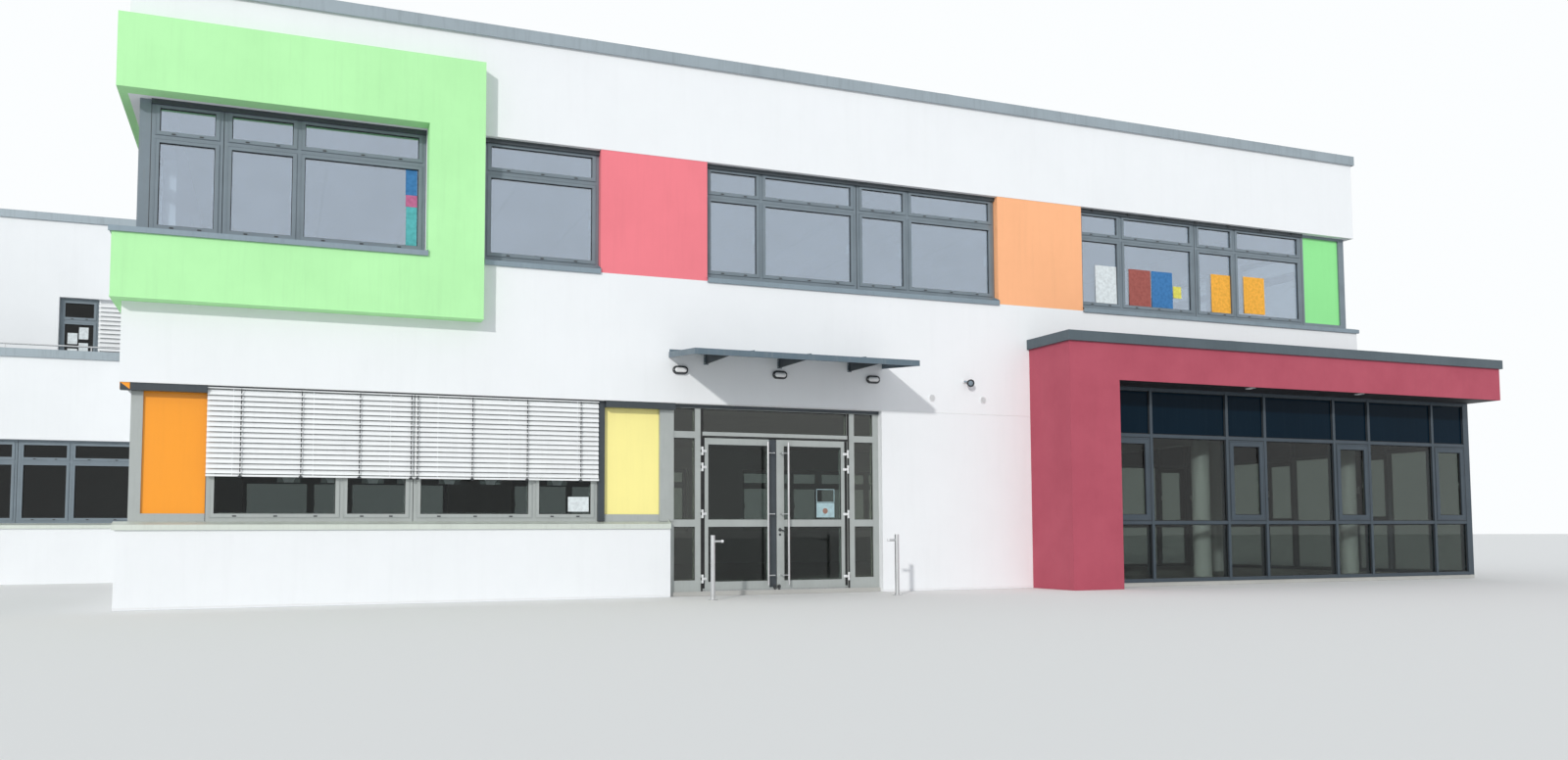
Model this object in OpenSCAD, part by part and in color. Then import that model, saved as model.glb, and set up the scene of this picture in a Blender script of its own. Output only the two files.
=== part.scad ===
// Two-storey school building with a rendered main block, a dark red dining
// pavilion at its front right corner and a lower wing at its rear left corner.
// Millimetres. X runs along the front, Y into the building, Z up.
// The origin is on the ground under the middle of the main block.

/* [Main block] */
// Depth of the main block
main_d = 16400; // [15600:100:19000]
// Thickness of the rendered outer walls
wall_t = 360; // [300:10:420]
// Height of the floor finish above the ground
floor_t = 60; // [40:5:120]
// Height from floor to floor
storey_h = 3500; // [3450:10:3640]
// Thickness of the upper floor and of the roof slabs
slab_t = 300; // [200:10:340]
// Height of the parapet over the roof slab, under its coping
parapet_up = 495; // [400:5:800]

/* [Coping] */
// Height of the grey metal coping
coping_h = 155; // [100:5:200]
// Overhang of the coping past the wall face
coping_out = 42; // [20:1:60]
// Thickness of the coping sheet
coping_t = 12; // [8:1:20]

/* [Window bands] */
// Depth from the wall face to the window frames
recess = 120; // [90:5:150]
// Underside of the window sills above the floor
sill_up = 905; // [880:5:920]
// Window head above the floor
head_up = 2640; // [2600:5:2700]
// Width of one window module
module_w = 2425; // [2300:5:2450]
// Width of the narrow light in a module, to the middle of its mullion
narrow_w = 870; // [700:10:1000]
// Depth of the window frames
frame_d = 78; // [60:1:100]
// Visible width of a fixed frame bar
bar_w = 46; // [36:1:60]
// Visible width of a sash bar
sash_w = 48; // [36:1:60]
// How far a sash stands in front of its frame
sash_out = 10; // [5:1:20]
// Height of the upper lights' bar above the window head, downwards
transom_drop = 455; // [400:5:600]
// Thickness of the glass
glass_t = 28; // [20:1:36]
// Width of the corner posts
corner_w = 130; // [100:5:160]
// Width of the coloured panel beside the ground floor windows
low_panel_w = 700; // [600:10:760]
// Width of the dark guide post at the end of the blinds
guide_w = 90; // [70:5:110]
// Width of the yellow panel with its frame
yellow_w = 790; // [700:10:900]
// Width of the grey pier cladding beside the entrance
pier_clad_w = 127; // [100:1:180]
// How far the cladding laps over the entrance's left jamb
clad_lap = 77; // [60:1:90]
// Height of the dark strip over the panels beside the blinds
strip_h = 90; // [70:5:110]
// Height of the rail over the upper windows
head_bar_h = 60; // [50:1:70]
// Width of the rendered pier at the right of the box's window
pier_w = 750; // [700:10:820]
// Width of the single window beside the box
single_w = 1570; // [1400:10:1700]
// Width of the salmon panel
red_w = 1550; // [1400:10:1700]
// Width of the orange panel
orange_w = 1605; // [1400:5:1800]
// Width of the green panel at the right corner with its frame
green_w = 895; // [800:5:1000]
// Thickness of a window sill sheet's nosing
sill_h = 45; // [30:1:60]
// How far a sill stands out from the wall
sill_out = 32; // [20:1:50]

/* [Green box] */
// How far the box stands out from the front
box_out = 250; // [150:10:350]
// How far it stands out from the left side
box_side_out = 100; // [60:5:150]
// Length of the box along the front, from the corner of the wall
box_w = 4190; // [4100:10:4220]
// Width of the box's face at the right of its window
box_pier = 710; // [640:10:740]
// Underside of the box above the upper floor
box_up = 110; // [60:5:300]
// Top of the box under the top of the parapet wall
box_drop = 460; // [300:5:600]

/* [Blinds] */
// Width of a slat
slat_w = 80; // [60:1:90]
// Sheet thickness of a slat
slat_t = 2; // [1.5:0.1:3]
// Rise of a slat's curve
slat_crown = 9; // [6:0.5:12]
// Slope of the slats in degrees
slat_tilt = 58; // [30:1:65]
// Spacing of the slats
slat_pitch = 64; // [50:1:75]
// Height of the head box over the slats
blind_box = 30; // [24:1:50]
// Number of slats let down
slat_n = 16; // [6:1:20]

/* [Entrance] */
// Clear width between the entrance's posts
door_open = 2280; // [2100:10:2360]
// Height of the leaves above the floor
leaf_h = 2165; // [2080:5:2240]
// Thickness of a leaf
leaf_t = 70; // [60:1:80]
// How far a leaf stands back from the front of its posts
leaf_back = 25; // [15:1:40]
// Gap under and over a leaf
leaf_gap = 10; // [6:1:14]
// Gap between a leaf and its post
side_gap = 5; // [5:1:8]
// Width of the hinge stile
hinge_stile = 92; // [60:2:110]
// Width of the lock stile
lock_stile = 118; // [90:2:140]
// Height of the bottom rail of a leaf
kick_h = 122; // [100:2:200]
// Height of the foot rail under a sidelight
side_kick_h = 158; // [120:2:220]
// Middle rail of a leaf above the floor
mid_rail_z = 910; // [850:5:1000]
// Height of the middle rail
mid_rail_h = 102; // [60:2:120]
// Width of the posts beside the doors
post_w = 110; // [80:2:140]
// Width of the sidelights
side_w = 311; // [240:1:340]
// Left jamb of the entrance
jamb_l = 86; // [80:1:120]
// Right jamb of the entrance
jamb_r = 94; // [80:1:140]
// Height of the rail over the doors
head_rail_h = 75; // [60:1:110]
// Diameter of a door pull
pull_d = 32; // [25:1:40]
// How far the pull's middle stands off the leaf
pull_off = 85; // [60:1:95]
// Distance from the pull to the edge where the leaves meet
pull_in = 155; // [130:1:200]

/* [Canopy] */
// Width of the canopy
canopy_w = 3350; // [3150:10:3600]
// How far the canopy stands out
canopy_d = 1160; // [1050:10:1300]
// Height of the canopy's turned-down edges
canopy_t = 80; // [60:1:100]
// Top of the canopy above the ground, at the wall
canopy_z = 3415; // [3400:5:3440]
// Fall of the canopy from the wall to its front
canopy_fall = 105; // [60:5:130]
// Thickness of the canopy's sheet
canopy_sheet = 8; // [5:1:12]
// Distance between the canopy's brackets
bracket_step = 1125; // [1000:5:1250]
// How far a bracket stands out
bracket_d = 1000; // [900:10:1020]
// Bottom of a bracket at the wall, under the canopy's top
bracket_h = 145; // [120:5:150]
// Height of a bracket's tip
bracket_tip = 60; // [40:5:80]
// Thickness of a bracket
bracket_t = 15; // [10:1:20]

/* [Wall fittings] */
// Middle of the lamps above the ground
lamp_z = 3166; // [3140:2:3180]
// Distance between the lamps
lamp_step = 1510; // [1450:5:1560]
// Height of an oval lamp
lamp_d = 120; // [100:5:130]
// Middle of the round vents above the ground
vent_z = 2930; // [2860:5:3000]
// Diameter of a vent
vent_d = 110; // [90:5:130]
// Place of the vents across the wall between entrance and pavilion, from either end
vent_share = 0.3285; // [0.25:0.0005:0.4]
// Place of the spotlight across that wall, from the entrance
spot_share = 0.5865; // [0.5:0.0005:0.62]
// Height of the spotlight over the vents
spot_up = 245; // [200:5:300]

/* [Pavilion] */
// Distance from the main block's left corner to the pavilion's left side
pav_l = 12750; // [12600:10:13200]
// How far the pavilion's roof passes the main block's right side
pav_over = 2250; // [1950:50:2550]
// How far the fascia stands in front of the main block
pav_out = 1070; // [950:10:1200]
// How far the glazing stands in front of the main block
pav_glass_out = 430; // [350:10:500]
// Length of the pavilion's right side, behind the main block's front
pav_side = 7100; // [6800:50:8200]
// Width of the red pier
red_pier_w = 912; // [800:10:1000]
// Underside of the pavilion's roof above the ground
pav_z = 3200; // [3100:10:3300]
// Height of the red fascia
fascia_h = 565; // [500:5:600]
// Width of a curtain wall bar
cw_bar = 60; // [50:1:80]
// Depth of a curtain wall bar
cw_d = 130; // [80:5:160]
// Lower bar of the curtain wall above the ground
cw_low = 985; // [900:5:1100]
// Upper bar of the curtain wall above the ground
cw_high = 2385; // [2200:5:2500]
// Width of a casement bay in the curtain wall
cw_narrow = 818; // [700:2:900]
// Width of the bay beside the red pier
cw_first = 1094; // [900:2:1200]
// Visible width of a casement's bars
casement_w = 100; // [70:5:120]
// How far a casement stands in front of the curtain wall
casement_out = 15; // [8:1:25]
// Diameter of the round columns
column_d = 300; // [240:10:360]

/* [Wing] */
// Width of the wing beside the main block
wing_w = 6000; // [5600:100:7000]
// Distance from the front of the main block to the front of the wing
wing_back = 10150; // [9900:50:11000]
// Height of the wing's lower roof edge above its upper floor
wing_edge = 690; // [600:10:760]
// Setback of the wing's upper storey
wing_step = 1650; // [1200:50:2000]
// Height of the wing's upper roof edge under the main block's parapet
wing_below = 305; // [200:5:500]
// Height of the safety rail over the wing's lower roof edge
rail_h = 110; // [80:5:200]
// Sill of the wing's windows above the ground
wing_sill = 1140; // [1000:10:1300]
// Distance from the main block to the wing's window band
wing_win_in = 290; // [250:10:400]
// Width of the wing's upper light
wing_light_w = 700; // [600:10:900]
// Height of the wing's upper light above its floor
wing_light_h = 2150; // [2050:10:2400]
// Distance from the main block to the upper light
wing_light_in = 1650; // [1500:10:1900]

/* [Hidden] */
$fn = 32;

upper_z = floor_t + storey_h;
roof_z = upper_z + storey_h - slab_t;
parapet_z = roof_z + slab_t + parapet_up;
box_z = upper_z + box_up;
box_top = parapet_z - box_drop;
wing_z = upper_z + wing_edge;
wing_top = parapet_z - wing_below;
low_sill = floor_t + sill_up;
low_head = floor_t + head_up;
up_sill = upper_z + sill_up;
head_drop = 10;
up_head = upper_z + head_up - head_drop;
sill_lift = 85;
sill_lip = 20;
low_win_h = low_head - low_sill - sill_lift;
up_win_h = up_head - up_sill - sill_lift;

// Places along the front, counted from the main block's left corner
first_u = recess + corner_w;
low_win_u = first_u + low_panel_w;
guide_u = low_win_u + 2 * module_w;
yellow_u = guide_u + guide_w;
clad_u = yellow_u + yellow_w;
door_u = clad_u + pier_clad_w;
door_w = jamb_l + jamb_r + 2 * (side_w + post_w) + door_open;
door_end_u = door_u + door_w;
door_mid_u = door_u + jamb_l + side_w + post_w + door_open / 2;
box_win_end_u = box_w - box_pier;
single_u = box_win_end_u + pier_w;
red_u = single_u + single_w;
middle_u = red_u + red_w;
orange_u = middle_u + 2 * module_w;
right_win_u = orange_u + orange_w;
green_u = right_win_u + 2 * module_w;
right_u = green_u + green_w;
main_w = right_u + corner_w + recess;

lx = -main_w / 2;
rx = main_w / 2;
fy = -main_d / 2;
ry = main_d / 2;
win_y = fy + recess;
win_x = lx + recess;

door_x = lx + door_mid_u;
leaf_w = (door_open - 2 * side_gap - 2 * leaf_gap / 2) / 2;
hinge_out = 13;
hinge_r = 11;
arm_d = 18;

pav_x = lx + pav_l;
pav_end = rx + pav_over;
pav_y = fy - pav_out;
pav_glass_y = fy - pav_glass_out;
pav_rear = fy + pav_side;
cw_end = pav_end - 30;
pav_wall = 300;

wing_x = lx - wing_w;
wing_y = fy + wing_back;

// Play in a joint between two frame elements
joint = 1;

function u(d) = lx + d;

// A plain block from one corner to the other
module block(a, b) {
    translate(a) cube([b[0] - a[0], b[1] - a[1], b[2] - a[2]]);
}

// Lights of one window unit: [left, bottom, width, height] of each pane.
// parts lists the widths between the middles of the mullions.
function starts(parts) = [for (i = 0, s = 0; i < len(parts); s = s + parts[i], i = i + 1) s];
function lights(parts, h, drop) = let (s = starts(parts), n = len(parts), edge = bar_w + sash_w)
    [for (i = [0:n - 1]) for (k = drop > 0 ? [0, 1] : [0])
        let (l = i == 0 ? edge : s[i] + bar_w / 2 + sash_w,
             r = s[i] + parts[i] - (i == n - 1 ? edge : bar_w / 2 + sash_w),
             b = k == 0 ? edge : h - drop + bar_w / 2 + sash_w,
             t = k == 0 && drop > 0 ? h - drop - bar_w / 2 - sash_w : h - edge)
        [l, b, r - l, t - b]];

// Frame of one window unit, its front face on y = 0
module unit_frame(parts, h, drop) {
    w = starts(parts)[len(parts) - 1] + parts[len(parts) - 1];
    difference() {
        union() {
            cube([w, frame_d, h]);
            for (p = lights(parts, h, drop))
                translate([p[0] - sash_w, -sash_out, p[1] - sash_w])
                    cube([p[2] + 2 * sash_w, sash_out + 1, p[3] + 2 * sash_w]);
        }
        for (p = lights(parts, h, drop))
            translate([p[0], -sash_out - 1, p[1]]) cube([p[2], frame_d + sash_out + 2, p[3]]);
    }
}

// Panes of one window unit
module unit_glass(parts, h, drop) {
    for (p = lights(parts, h, drop))
        translate([p[0], (frame_d - glass_t) / 2, p[1]]) cube([p[2], glass_t, p[3]]);
}

pair = [narrow_w, module_w - narrow_w];
pair_back = [module_w - narrow_w, narrow_w];

// Units of the upper front windows: [place along the front, parts]
box_first_w = box_win_end_u - module_w - first_u;
front_units = [[first_u, [box_first_w]], [first_u + box_first_w, pair],
               [single_u, [single_w]],
               [middle_u, pair], [middle_u + module_w, pair],
               [right_win_u, pair], [right_win_u + module_w, pair]];
low_units = [[low_win_u, pair_back], [low_win_u + module_w, pair_back]];

// Window bands of the plain sides: how far from the corner, and how many modules
side_first = recess + corner_w;
side_run = 2 * module_w;
rear_gap = 1000;
rear_n = 3;
rear_pier = (main_w - 2 * rear_gap - rear_n * 2 * module_w) / (rear_n - 1);
rear_starts = [for (i = [0:rear_n - 1]) rear_gap + i * (2 * module_w + rear_pier)];
side_pier = 900;
second_gap = 600;
second_run = pav_side + second_gap;
wing_drop = 400;
left_second = side_first + side_run + side_pier;
box_side_w = side_first + module_w + box_pier;

module ground_slab() {
    color("lightgray") {
        linear_extrude(floor_t) polygon([
            [lx + wall_t, fy + wall_t], [lx + wall_t, ry - wall_t],
            [rx - wall_t, ry - wall_t], [rx - wall_t, pav_rear],
            [cw_end, pav_rear], [cw_end, pav_glass_y],
            [pav_x + red_pier_w, pav_glass_y], [pav_x + pav_wall, pav_glass_y],
            [pav_x + pav_wall, fy], [pav_x, fy], [pav_x, fy + wall_t],
            [u(door_end_u), fy + wall_t], [u(door_end_u), win_y - threshold], [u(door_u), win_y - threshold],
            [u(door_u), fy + wall_t]]);
        block([wing_x + wall_t, wing_y + wall_t, 0], [lx, ry - wall_t, floor_t]);
    }
}

module upper_floor() {
    color("lightgray") block([lx + wall_t, fy + wall_t, upper_z - slab_t],
                             [rx - wall_t, ry - wall_t, upper_z]);
}

module main_roof() {
    color("slategray") block([lx + wall_t, fy + wall_t, roof_z],
                             [rx - wall_t, ry - wall_t, roof_z + slab_t]);
}

// A coping: a sheet turned down on both sides of a wall that runs around a roof
module coping_ring(x0, y0, x1, y1, z, t) {
    difference() {
        block([x0 - coping_out, y0 - coping_out, z - coping_h + coping_t],
              [x1 + coping_out, y1 + coping_out, z + coping_t]);
        block([x0, y0, z - coping_h], [x1, y1, z]);
        block([x0 + t, y0 + t, z - coping_h], [x1 - t, y1 - t, z + coping_t + 1]);
    }
}

module roof_coping() {
    color("slategray") coping_ring(lx, fy, rx, ry, parapet_z + coping_h - coping_t, wall_t);
}

module front_wall_low() {
    color("white") block([lx, fy, 0], [u(door_u), fy + wall_t, low_sill]);
}

module front_wall_pier() {
    color("white") block([u(door_end_u), fy, 0], [pav_x, fy + wall_t, low_head]);
}

module front_wall_band() {
    color("white") block([lx, fy, low_head], [rx, fy + wall_t, up_sill]);
}

module front_parapet() {
    color("white") block([lx, fy, up_head], [rx, fy + wall_t, parapet_z + coping_h - coping_t]);
}

module upper_pier() {
    color("white") block([u(box_win_end_u), fy, up_sill], [u(single_u), fy + wall_t, up_head]);
}

module red_panel() {
    color([0.86, 0.35, 0.37]) block([u(red_u), fy, up_sill], [u(middle_u), fy + wall_t, up_head]);
}

module orange_panel() {
    color([0.98, 0.6, 0.3]) block([u(orange_u), fy, up_sill], [u(right_win_u), fy + wall_t, up_head]);
}

// A side wall with its window bands; a band at the front runs round the corner
module side_wall(low, runs, z_low) {
    difference() {
        block([0, fy + wall_t, z_low], [wall_t, ry - wall_t, parapet_z + coping_h - coping_t]);
        for (s = runs) {
            if (low) block([-1, fy + s[0], low_sill], [wall_t + 1, fy + s[1], low_head]);
            block([-1, fy + s[0], up_sill], [wall_t + 1, fy + s[1], up_head]);
        }
    }
}

module left_wall() {
    color("white") translate([lx, 0, 0]) difference() {
        side_wall(true, [[left_second, left_second + module_w]], 0);
        block([-1, fy, low_sill], [wall_t + 1, fy + side_first + side_run, low_head]);
        block([-1, fy, up_sill], [wall_t + 1, fy + side_first + module_w, up_head]);
    }
}

module right_wall() {
    color("white") translate([rx - wall_t, 0, 0]) difference() {
        side_wall(false, [[0, side_first + side_run], [second_run, second_run + side_run]], 0);
        block([-1, fy, -1], [wall_t + 1, pav_rear, low_head]);
        block([-1, fy + second_run, low_sill], [wall_t + 1, fy + second_run + side_run, low_head]);
    }
}

module rear_wall() {
    color("white") difference() {
        block([lx, ry - wall_t, 0], [rx, ry, parapet_z + coping_h - coping_t]);
        for (s = rear_starts) {
            block([u(s), ry - wall_t - 1, low_sill], [u(s) + 2 * module_w, ry + 1, low_head]);
            block([u(s), ry - wall_t - 1, up_sill], [u(s) + 2 * module_w, ry + 1, up_head]);
        }
    }
}

module green_box() {
    color([0.6, 0.9, 0.55]) difference() {
        union() {
            block([lx - box_side_out, fy - box_out, box_z], [u(box_w), fy, box_top]);
            block([lx - box_side_out, fy - box_out, box_z], [lx, fy + box_side_w, box_top]);
        }
        block([lx - box_side_out - 1, fy - box_out - 1, up_sill],
              [u(box_win_end_u), fy + 1, up_head]);
        block([lx - box_side_out - 1, fy - box_out - 1, up_sill],
              [lx + 1, fy + side_first + module_w, up_head]);
    }
}

module front_window_frames() {
    color("dimgray") {
        for (g = front_units) translate([u(g[0]), win_y, up_sill + sill_lift])
            unit_frame(g[1], up_win_h, transom_drop);
        for (s = [first_u - corner_w, right_u])
            block([u(s), win_y, up_sill + sill_lift], [u(s) + corner_w, win_y + corner_w, up_head]);
        translate([u(green_u), win_y, up_sill + sill_lift]) difference() {
            cube([green_w, frame_d, up_win_h]);
            translate([bar_w, -1, bar_w]) cube([green_w, frame_d + 2, up_win_h - 2 * bar_w]);
        }
    }
}

module low_window_frames() {
    color("dimgray") {
        for (g = low_units) translate([u(g[0]), win_y, low_sill + sill_lift])
            unit_frame(g[1], low_win_h, transom_drop);
        block([u(recess), win_y, low_sill + sill_lift], [u(first_u), win_y + corner_w, low_head]);
        for (s = [[first_u, low_win_u], [yellow_u, clad_u]])
            block([u(s[0]), win_y, low_sill + sill_lift],
                  [u(s[1]), win_y + frame_d, low_sill + sill_lift + panel_foot]);
        block([u(clad_u), win_y - clad_out, low_sill + sill_lift], [u(door_u), win_y + frame_d, low_head]);
        block([u(door_u), win_y - clad_out, low_sill + sill_lift], [u(door_u + clad_lap), win_y, low_head]);
    }
}

// Dark rails: the post beside the blinds, the strips over the panels and the
// rails over the upper windows
module blind_rails() {
    color("darkslategray") {
        block([u(guide_u), win_y - 2 * clad_out, low_sill + sill_lift],
              [u(yellow_u), win_y + frame_d, low_head]);
        for (s = [[strip_in, low_win_u], [yellow_u, door_u + clad_lap]])
            block([u(s[0]), fy + strip_in, low_head - strip_h], [u(s[1]), win_y - clad_out, low_head]);
        for (s = [[first_u, box_win_end_u], [single_u, red_u], [middle_u, orange_u], [right_win_u, green_u]])
            block([u(s[0]), win_y - head_bar_out, up_head - head_bar_h],
                  [u(s[1]), win_y - sash_out, up_head]);
    }
}

clad_out = 20;
strip_in = 10;
head_bar_out = 45;
panel_foot = bar_w + sash_w;
panel_back = 30;

// Places of the plain window units: [x, y, turn, storey]
side_places = concat(
    [for (i = [1, 2]) [win_x, fy + side_first + i * module_w, -90, 0]],
    [[win_x, fy + side_first + module_w, -90, 1]],
    [for (k = [0, 1]) [win_x, fy + left_second + module_w, -90, k]],
    [for (i = [0, 1]) [rx - recess, fy + side_first + i * module_w, 90, 1]],
    [for (k = [0, 1]) for (i = [0, 1]) [rx - recess, fy + second_run + i * module_w, 90, k]],
    [for (k = [0, 1]) for (s = rear_starts) for (i = [1, 2]) [u(s) + i * module_w, ry - recess, 180, k]]);

module side_units(glass) {
    for (p = side_places) {
        h = p[3] == 0 ? low_win_h : up_win_h;
        translate([p[0], p[1], (p[3] == 0 ? low_sill : up_sill) + sill_lift]) rotate(p[2])
            if (glass) unit_glass(pair, h, transom_drop); else unit_frame(pair, h, transom_drop);
    }
    for (i = [1, 2]) translate([lx - wing_win_in - i * module_w, wing_y + recess, wing_sill])
        if (glass) unit_glass(pair, low_head - wing_sill, wing_drop);
        else unit_frame(pair, low_head - wing_sill, wing_drop);
    translate([lx - wing_light_in - wing_light_w, wing_y + wing_step + recess, upper_z])
        if (glass) unit_glass([wing_light_w], wing_light_h, transom_drop);
        else unit_frame([wing_light_w], wing_light_h, transom_drop);
}

module side_window_frames() { color("dimgray") side_units(false); }

module front_glass() {
    color("lightblue") for (g = front_units) translate([u(g[0]), win_y, up_sill + sill_lift])
        unit_glass(g[1], up_win_h, transom_drop);
}

module low_glass() {
    color("lightblue") for (g = low_units) translate([u(g[0]), win_y, low_sill + sill_lift])
        unit_glass(g[1], low_win_h, transom_drop);
}

module side_glass() { color("lightblue") side_units(true); }

// A flat coloured board that stands back in its opening
module board(w, h) {
    translate([0, panel_back, 0]) cube([w, frame_d - panel_back, h]);
}

module yellow_panel() {
    color([0.98, 0.85, 0.3]) translate([u(yellow_u), win_y, low_sill + sill_lift + panel_foot])
        board(yellow_w, low_win_h - panel_foot);
}

module low_orange_panel() {
    color([0.98, 0.6, 0.2]) translate([u(first_u), win_y, low_sill + sill_lift + panel_foot])
        board(low_panel_w, low_win_h - panel_foot);
}

module green_panel() {
    color([0.4, 0.85, 0.4]) translate([u(green_u) + bar_w, win_y, up_sill + sill_lift + bar_w])
        board(green_w - bar_w, up_win_h - 2 * bar_w);
}

// A sill sheet: nosing at the front, sloping top up to the frame. ahead is how
// far the face under it stands in front of the wall.
module sill(w, ahead = 0) {
    rotate([90, 0, 90]) linear_extrude(w)
        polygon([[-ahead - sill_out, -sill_lip], [-ahead, -sill_lip], [-ahead, 0], [recess + frame_d, 0],
                 [recess + frame_d, sill_lift], [recess, sill_lift], [-ahead - sill_out, sill_h]]);
}

module window_sills() {
    corner = recess + frame_d;
    color("gray") {
        translate([lx - sill_out, fy, low_sill]) sill(door_u + sill_out);
        translate([lx - box_side_out - sill_out, fy, up_sill])
            sill(box_win_end_u + box_side_out + sill_out, box_out);
        for (s = [[single_u, red_u], [middle_u, orange_u], [right_win_u, main_w + sill_out]])
            translate([u(s[0]), fy, up_sill]) sill(s[1] - s[0]);
        for (z = [low_sill, up_sill]) {
            translate([lx, fy + left_second + module_w, z]) rotate(-90) sill(module_w);
            for (s = rear_starts) translate([u(s) + 2 * module_w, ry, z]) rotate(180)
                sill(2 * module_w);
            translate([rx, fy + second_run, z]) rotate(90) sill(side_run);
        }
        translate([lx, fy + side_first + side_run, low_sill]) rotate(-90)
            sill(side_first + side_run - corner);
        translate([lx, fy + side_first + module_w, up_sill]) rotate(-90)
            sill(side_first + module_w - corner, box_side_out);
        translate([rx, fy + corner, up_sill]) rotate(90) sill(side_first + side_run - corner);
        translate([lx - wing_win_in - 2 * module_w, wing_y, wing_sill - sill_lift])
            sill(2 * module_w);
    }
}

// Slat section: a shallow arc of sheet metal, laid out along y
slat_r = (slat_w * slat_w / 4 + slat_crown * slat_crown) / (2 * slat_crown);
slat_a = asin(slat_w / 2 / slat_r);
function arc(r, n) = [for (i = [0:n]) let (a = -slat_a + 2 * slat_a * i / n)
    [r * sin(a), r * cos(a) - slat_r]];
module slat(w) {
    rotate([90, 0, 90]) linear_extrude(w) rotate(slat_tilt)
        polygon(concat(arc(slat_r + slat_t / 2, 8), [for (i = [8:-1:0]) arc(slat_r - slat_t / 2, 8)[i]]));
}

// One venetian blind: head box, slats on ladder tapes, bottom rail
module blind(w) {
    slat_top = low_win_h - blind_box - 8;
    end_z = slat_top - slat_n * slat_pitch - 30;
    color("gainsboro") {
        translate([0, -28, low_win_h - blind_box]) cube([w, 56, blind_box]);
        for (i = [0:slat_n - 1]) translate([0, 0, slat_top - (i + 0.5) * slat_pitch]) slat(w);
        translate([0, -25, end_z - 12]) cube([w, 50, 24]);
        for (f = [0.12, 0.5, 0.88]) translate([w * f - 4, -2, end_z])
            cube([8, 4, low_win_h - blind_box / 2 - end_z]);
    }
}

blind_y = fy + recess / 2 - 5;
blind_gap = 8;
module blind_left() {
    translate([u(low_win_u), blind_y, low_sill + sill_lift]) blind(module_w - blind_gap / 2);
}
module blind_right() {
    translate([u(low_win_u + module_w) + blind_gap / 2, blind_y, low_sill + sill_lift])
        blind(module_w - blind_gap);
}

// Entrance: everything stands on the floor, its front face on the window plane
ent_y = win_y;
leaf_z = floor_t + leaf_gap;
rail_z = leaf_z + leaf_h + leaf_gap;
light_z = rail_z + head_rail_h;
ent_top = low_head;
ent_head = 53;
light_in = 12;
side_bar_under = 20;
side_l = door_u + jamb_l;
side_r = door_end_u - jamb_r - side_w;
ent_d = 95;
threshold = 30;

// Two side elements with the posts, and the head element between them
module entrance_frame() {
    color("dimgray") translate([0, ent_y, 0]) {
        difference() {
            union() {
                block([u(door_u), 0, floor_t], [door_x - door_open / 2, ent_d, ent_top]);
                block([door_x + door_open / 2, 0, floor_t], [u(door_end_u), ent_d, ent_top]);
                block([door_x - door_open / 2 + joint, 0, rail_z],
                      [door_x + door_open / 2 - joint, ent_d, ent_top]);
            }
            block([door_x - door_open / 2 + light_in, -1, light_z],
                  [door_x + door_open / 2 - light_in, ent_d + 1, ent_top - ent_head]);
            for (s = [side_l, side_r]) {
                block([u(s), -1, light_z], [u(s) + side_w, ent_d + 1, ent_top - ent_head]);
                block([u(s), -1, floor_t + mid_rail_z + mid_rail_h],
                      [u(s) + side_w, ent_d + 1, rail_z - side_bar_under]);
                block([u(s), -1, floor_t + side_kick_h], [u(s) + side_w, ent_d + 1, floor_t + mid_rail_z]);
            }
        }
        for (m = [0, 1]) mirror_door(m) for (z = hinge_zs) hinge(z, false);
    }
}

module entrance_glass() {
    g = (ent_d - glass_t) / 2;
    color("lightblue") translate([0, ent_y, 0]) {
        block([door_x - door_open / 2 + light_in, g, light_z],
              [door_x + door_open / 2 - light_in, g + glass_t, ent_top - ent_head]);
        for (s = [side_l, side_r]) {
            block([u(s), g, light_z], [u(s) + side_w, g + glass_t, ent_top - ent_head]);
            block([u(s), g, floor_t + mid_rail_z + mid_rail_h],
                  [u(s) + side_w, g + glass_t, rail_z - side_bar_under]);
            block([u(s), g, floor_t + side_kick_h], [u(s) + side_w, g + glass_t, floor_t + mid_rail_z]);
        }
    }
}

hinge_low = 166;
hinge_mid = 0.5;
hinge_top = 190;
hinge_next = 228;
hinge_zs = [leaf_z + hinge_low, leaf_z + leaf_h * hinge_mid, leaf_z + leaf_h - hinge_top - hinge_next,
            leaf_z + leaf_h - hinge_top];
hinge_h = 120;
hinge_flap = 50;
hinge_play = 0.5;
crank = side_gap + 14;

// Turns the left leaf's geometry into the right leaf's
module mirror_door(m) {
    translate([door_x, 0, 0]) mirror([m, 0, 0]) translate([-door_open / 2, 0, 0]) children();
}

// A three-part hinge on its axis: the middle part is the moving one
module hinge(z, moving) {
    third = hinge_h / 3;
    for (low = moving ? [-third / 2] : [third / 2 + hinge_play, -1.5 * third - hinge_play])
        translate([0, -hinge_out, z + low]) {
            cylinder(r = hinge_r, h = third, $fn = 24);
            if (moving) {
                translate([0, -1.5, 0]) cube([crank, 3, third]);
                translate([crank - 3, -1.5, 0]) cube([3, hinge_out + leaf_back + 1.5, third]);
                translate([crank - 3, hinge_out + leaf_back - 3, 0]) cube([hinge_flap, 3, third]);
            } else translate([-hinge_flap, hinge_out - 3, 0]) cube([hinge_flap, 3, third]);
        }
}

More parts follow.
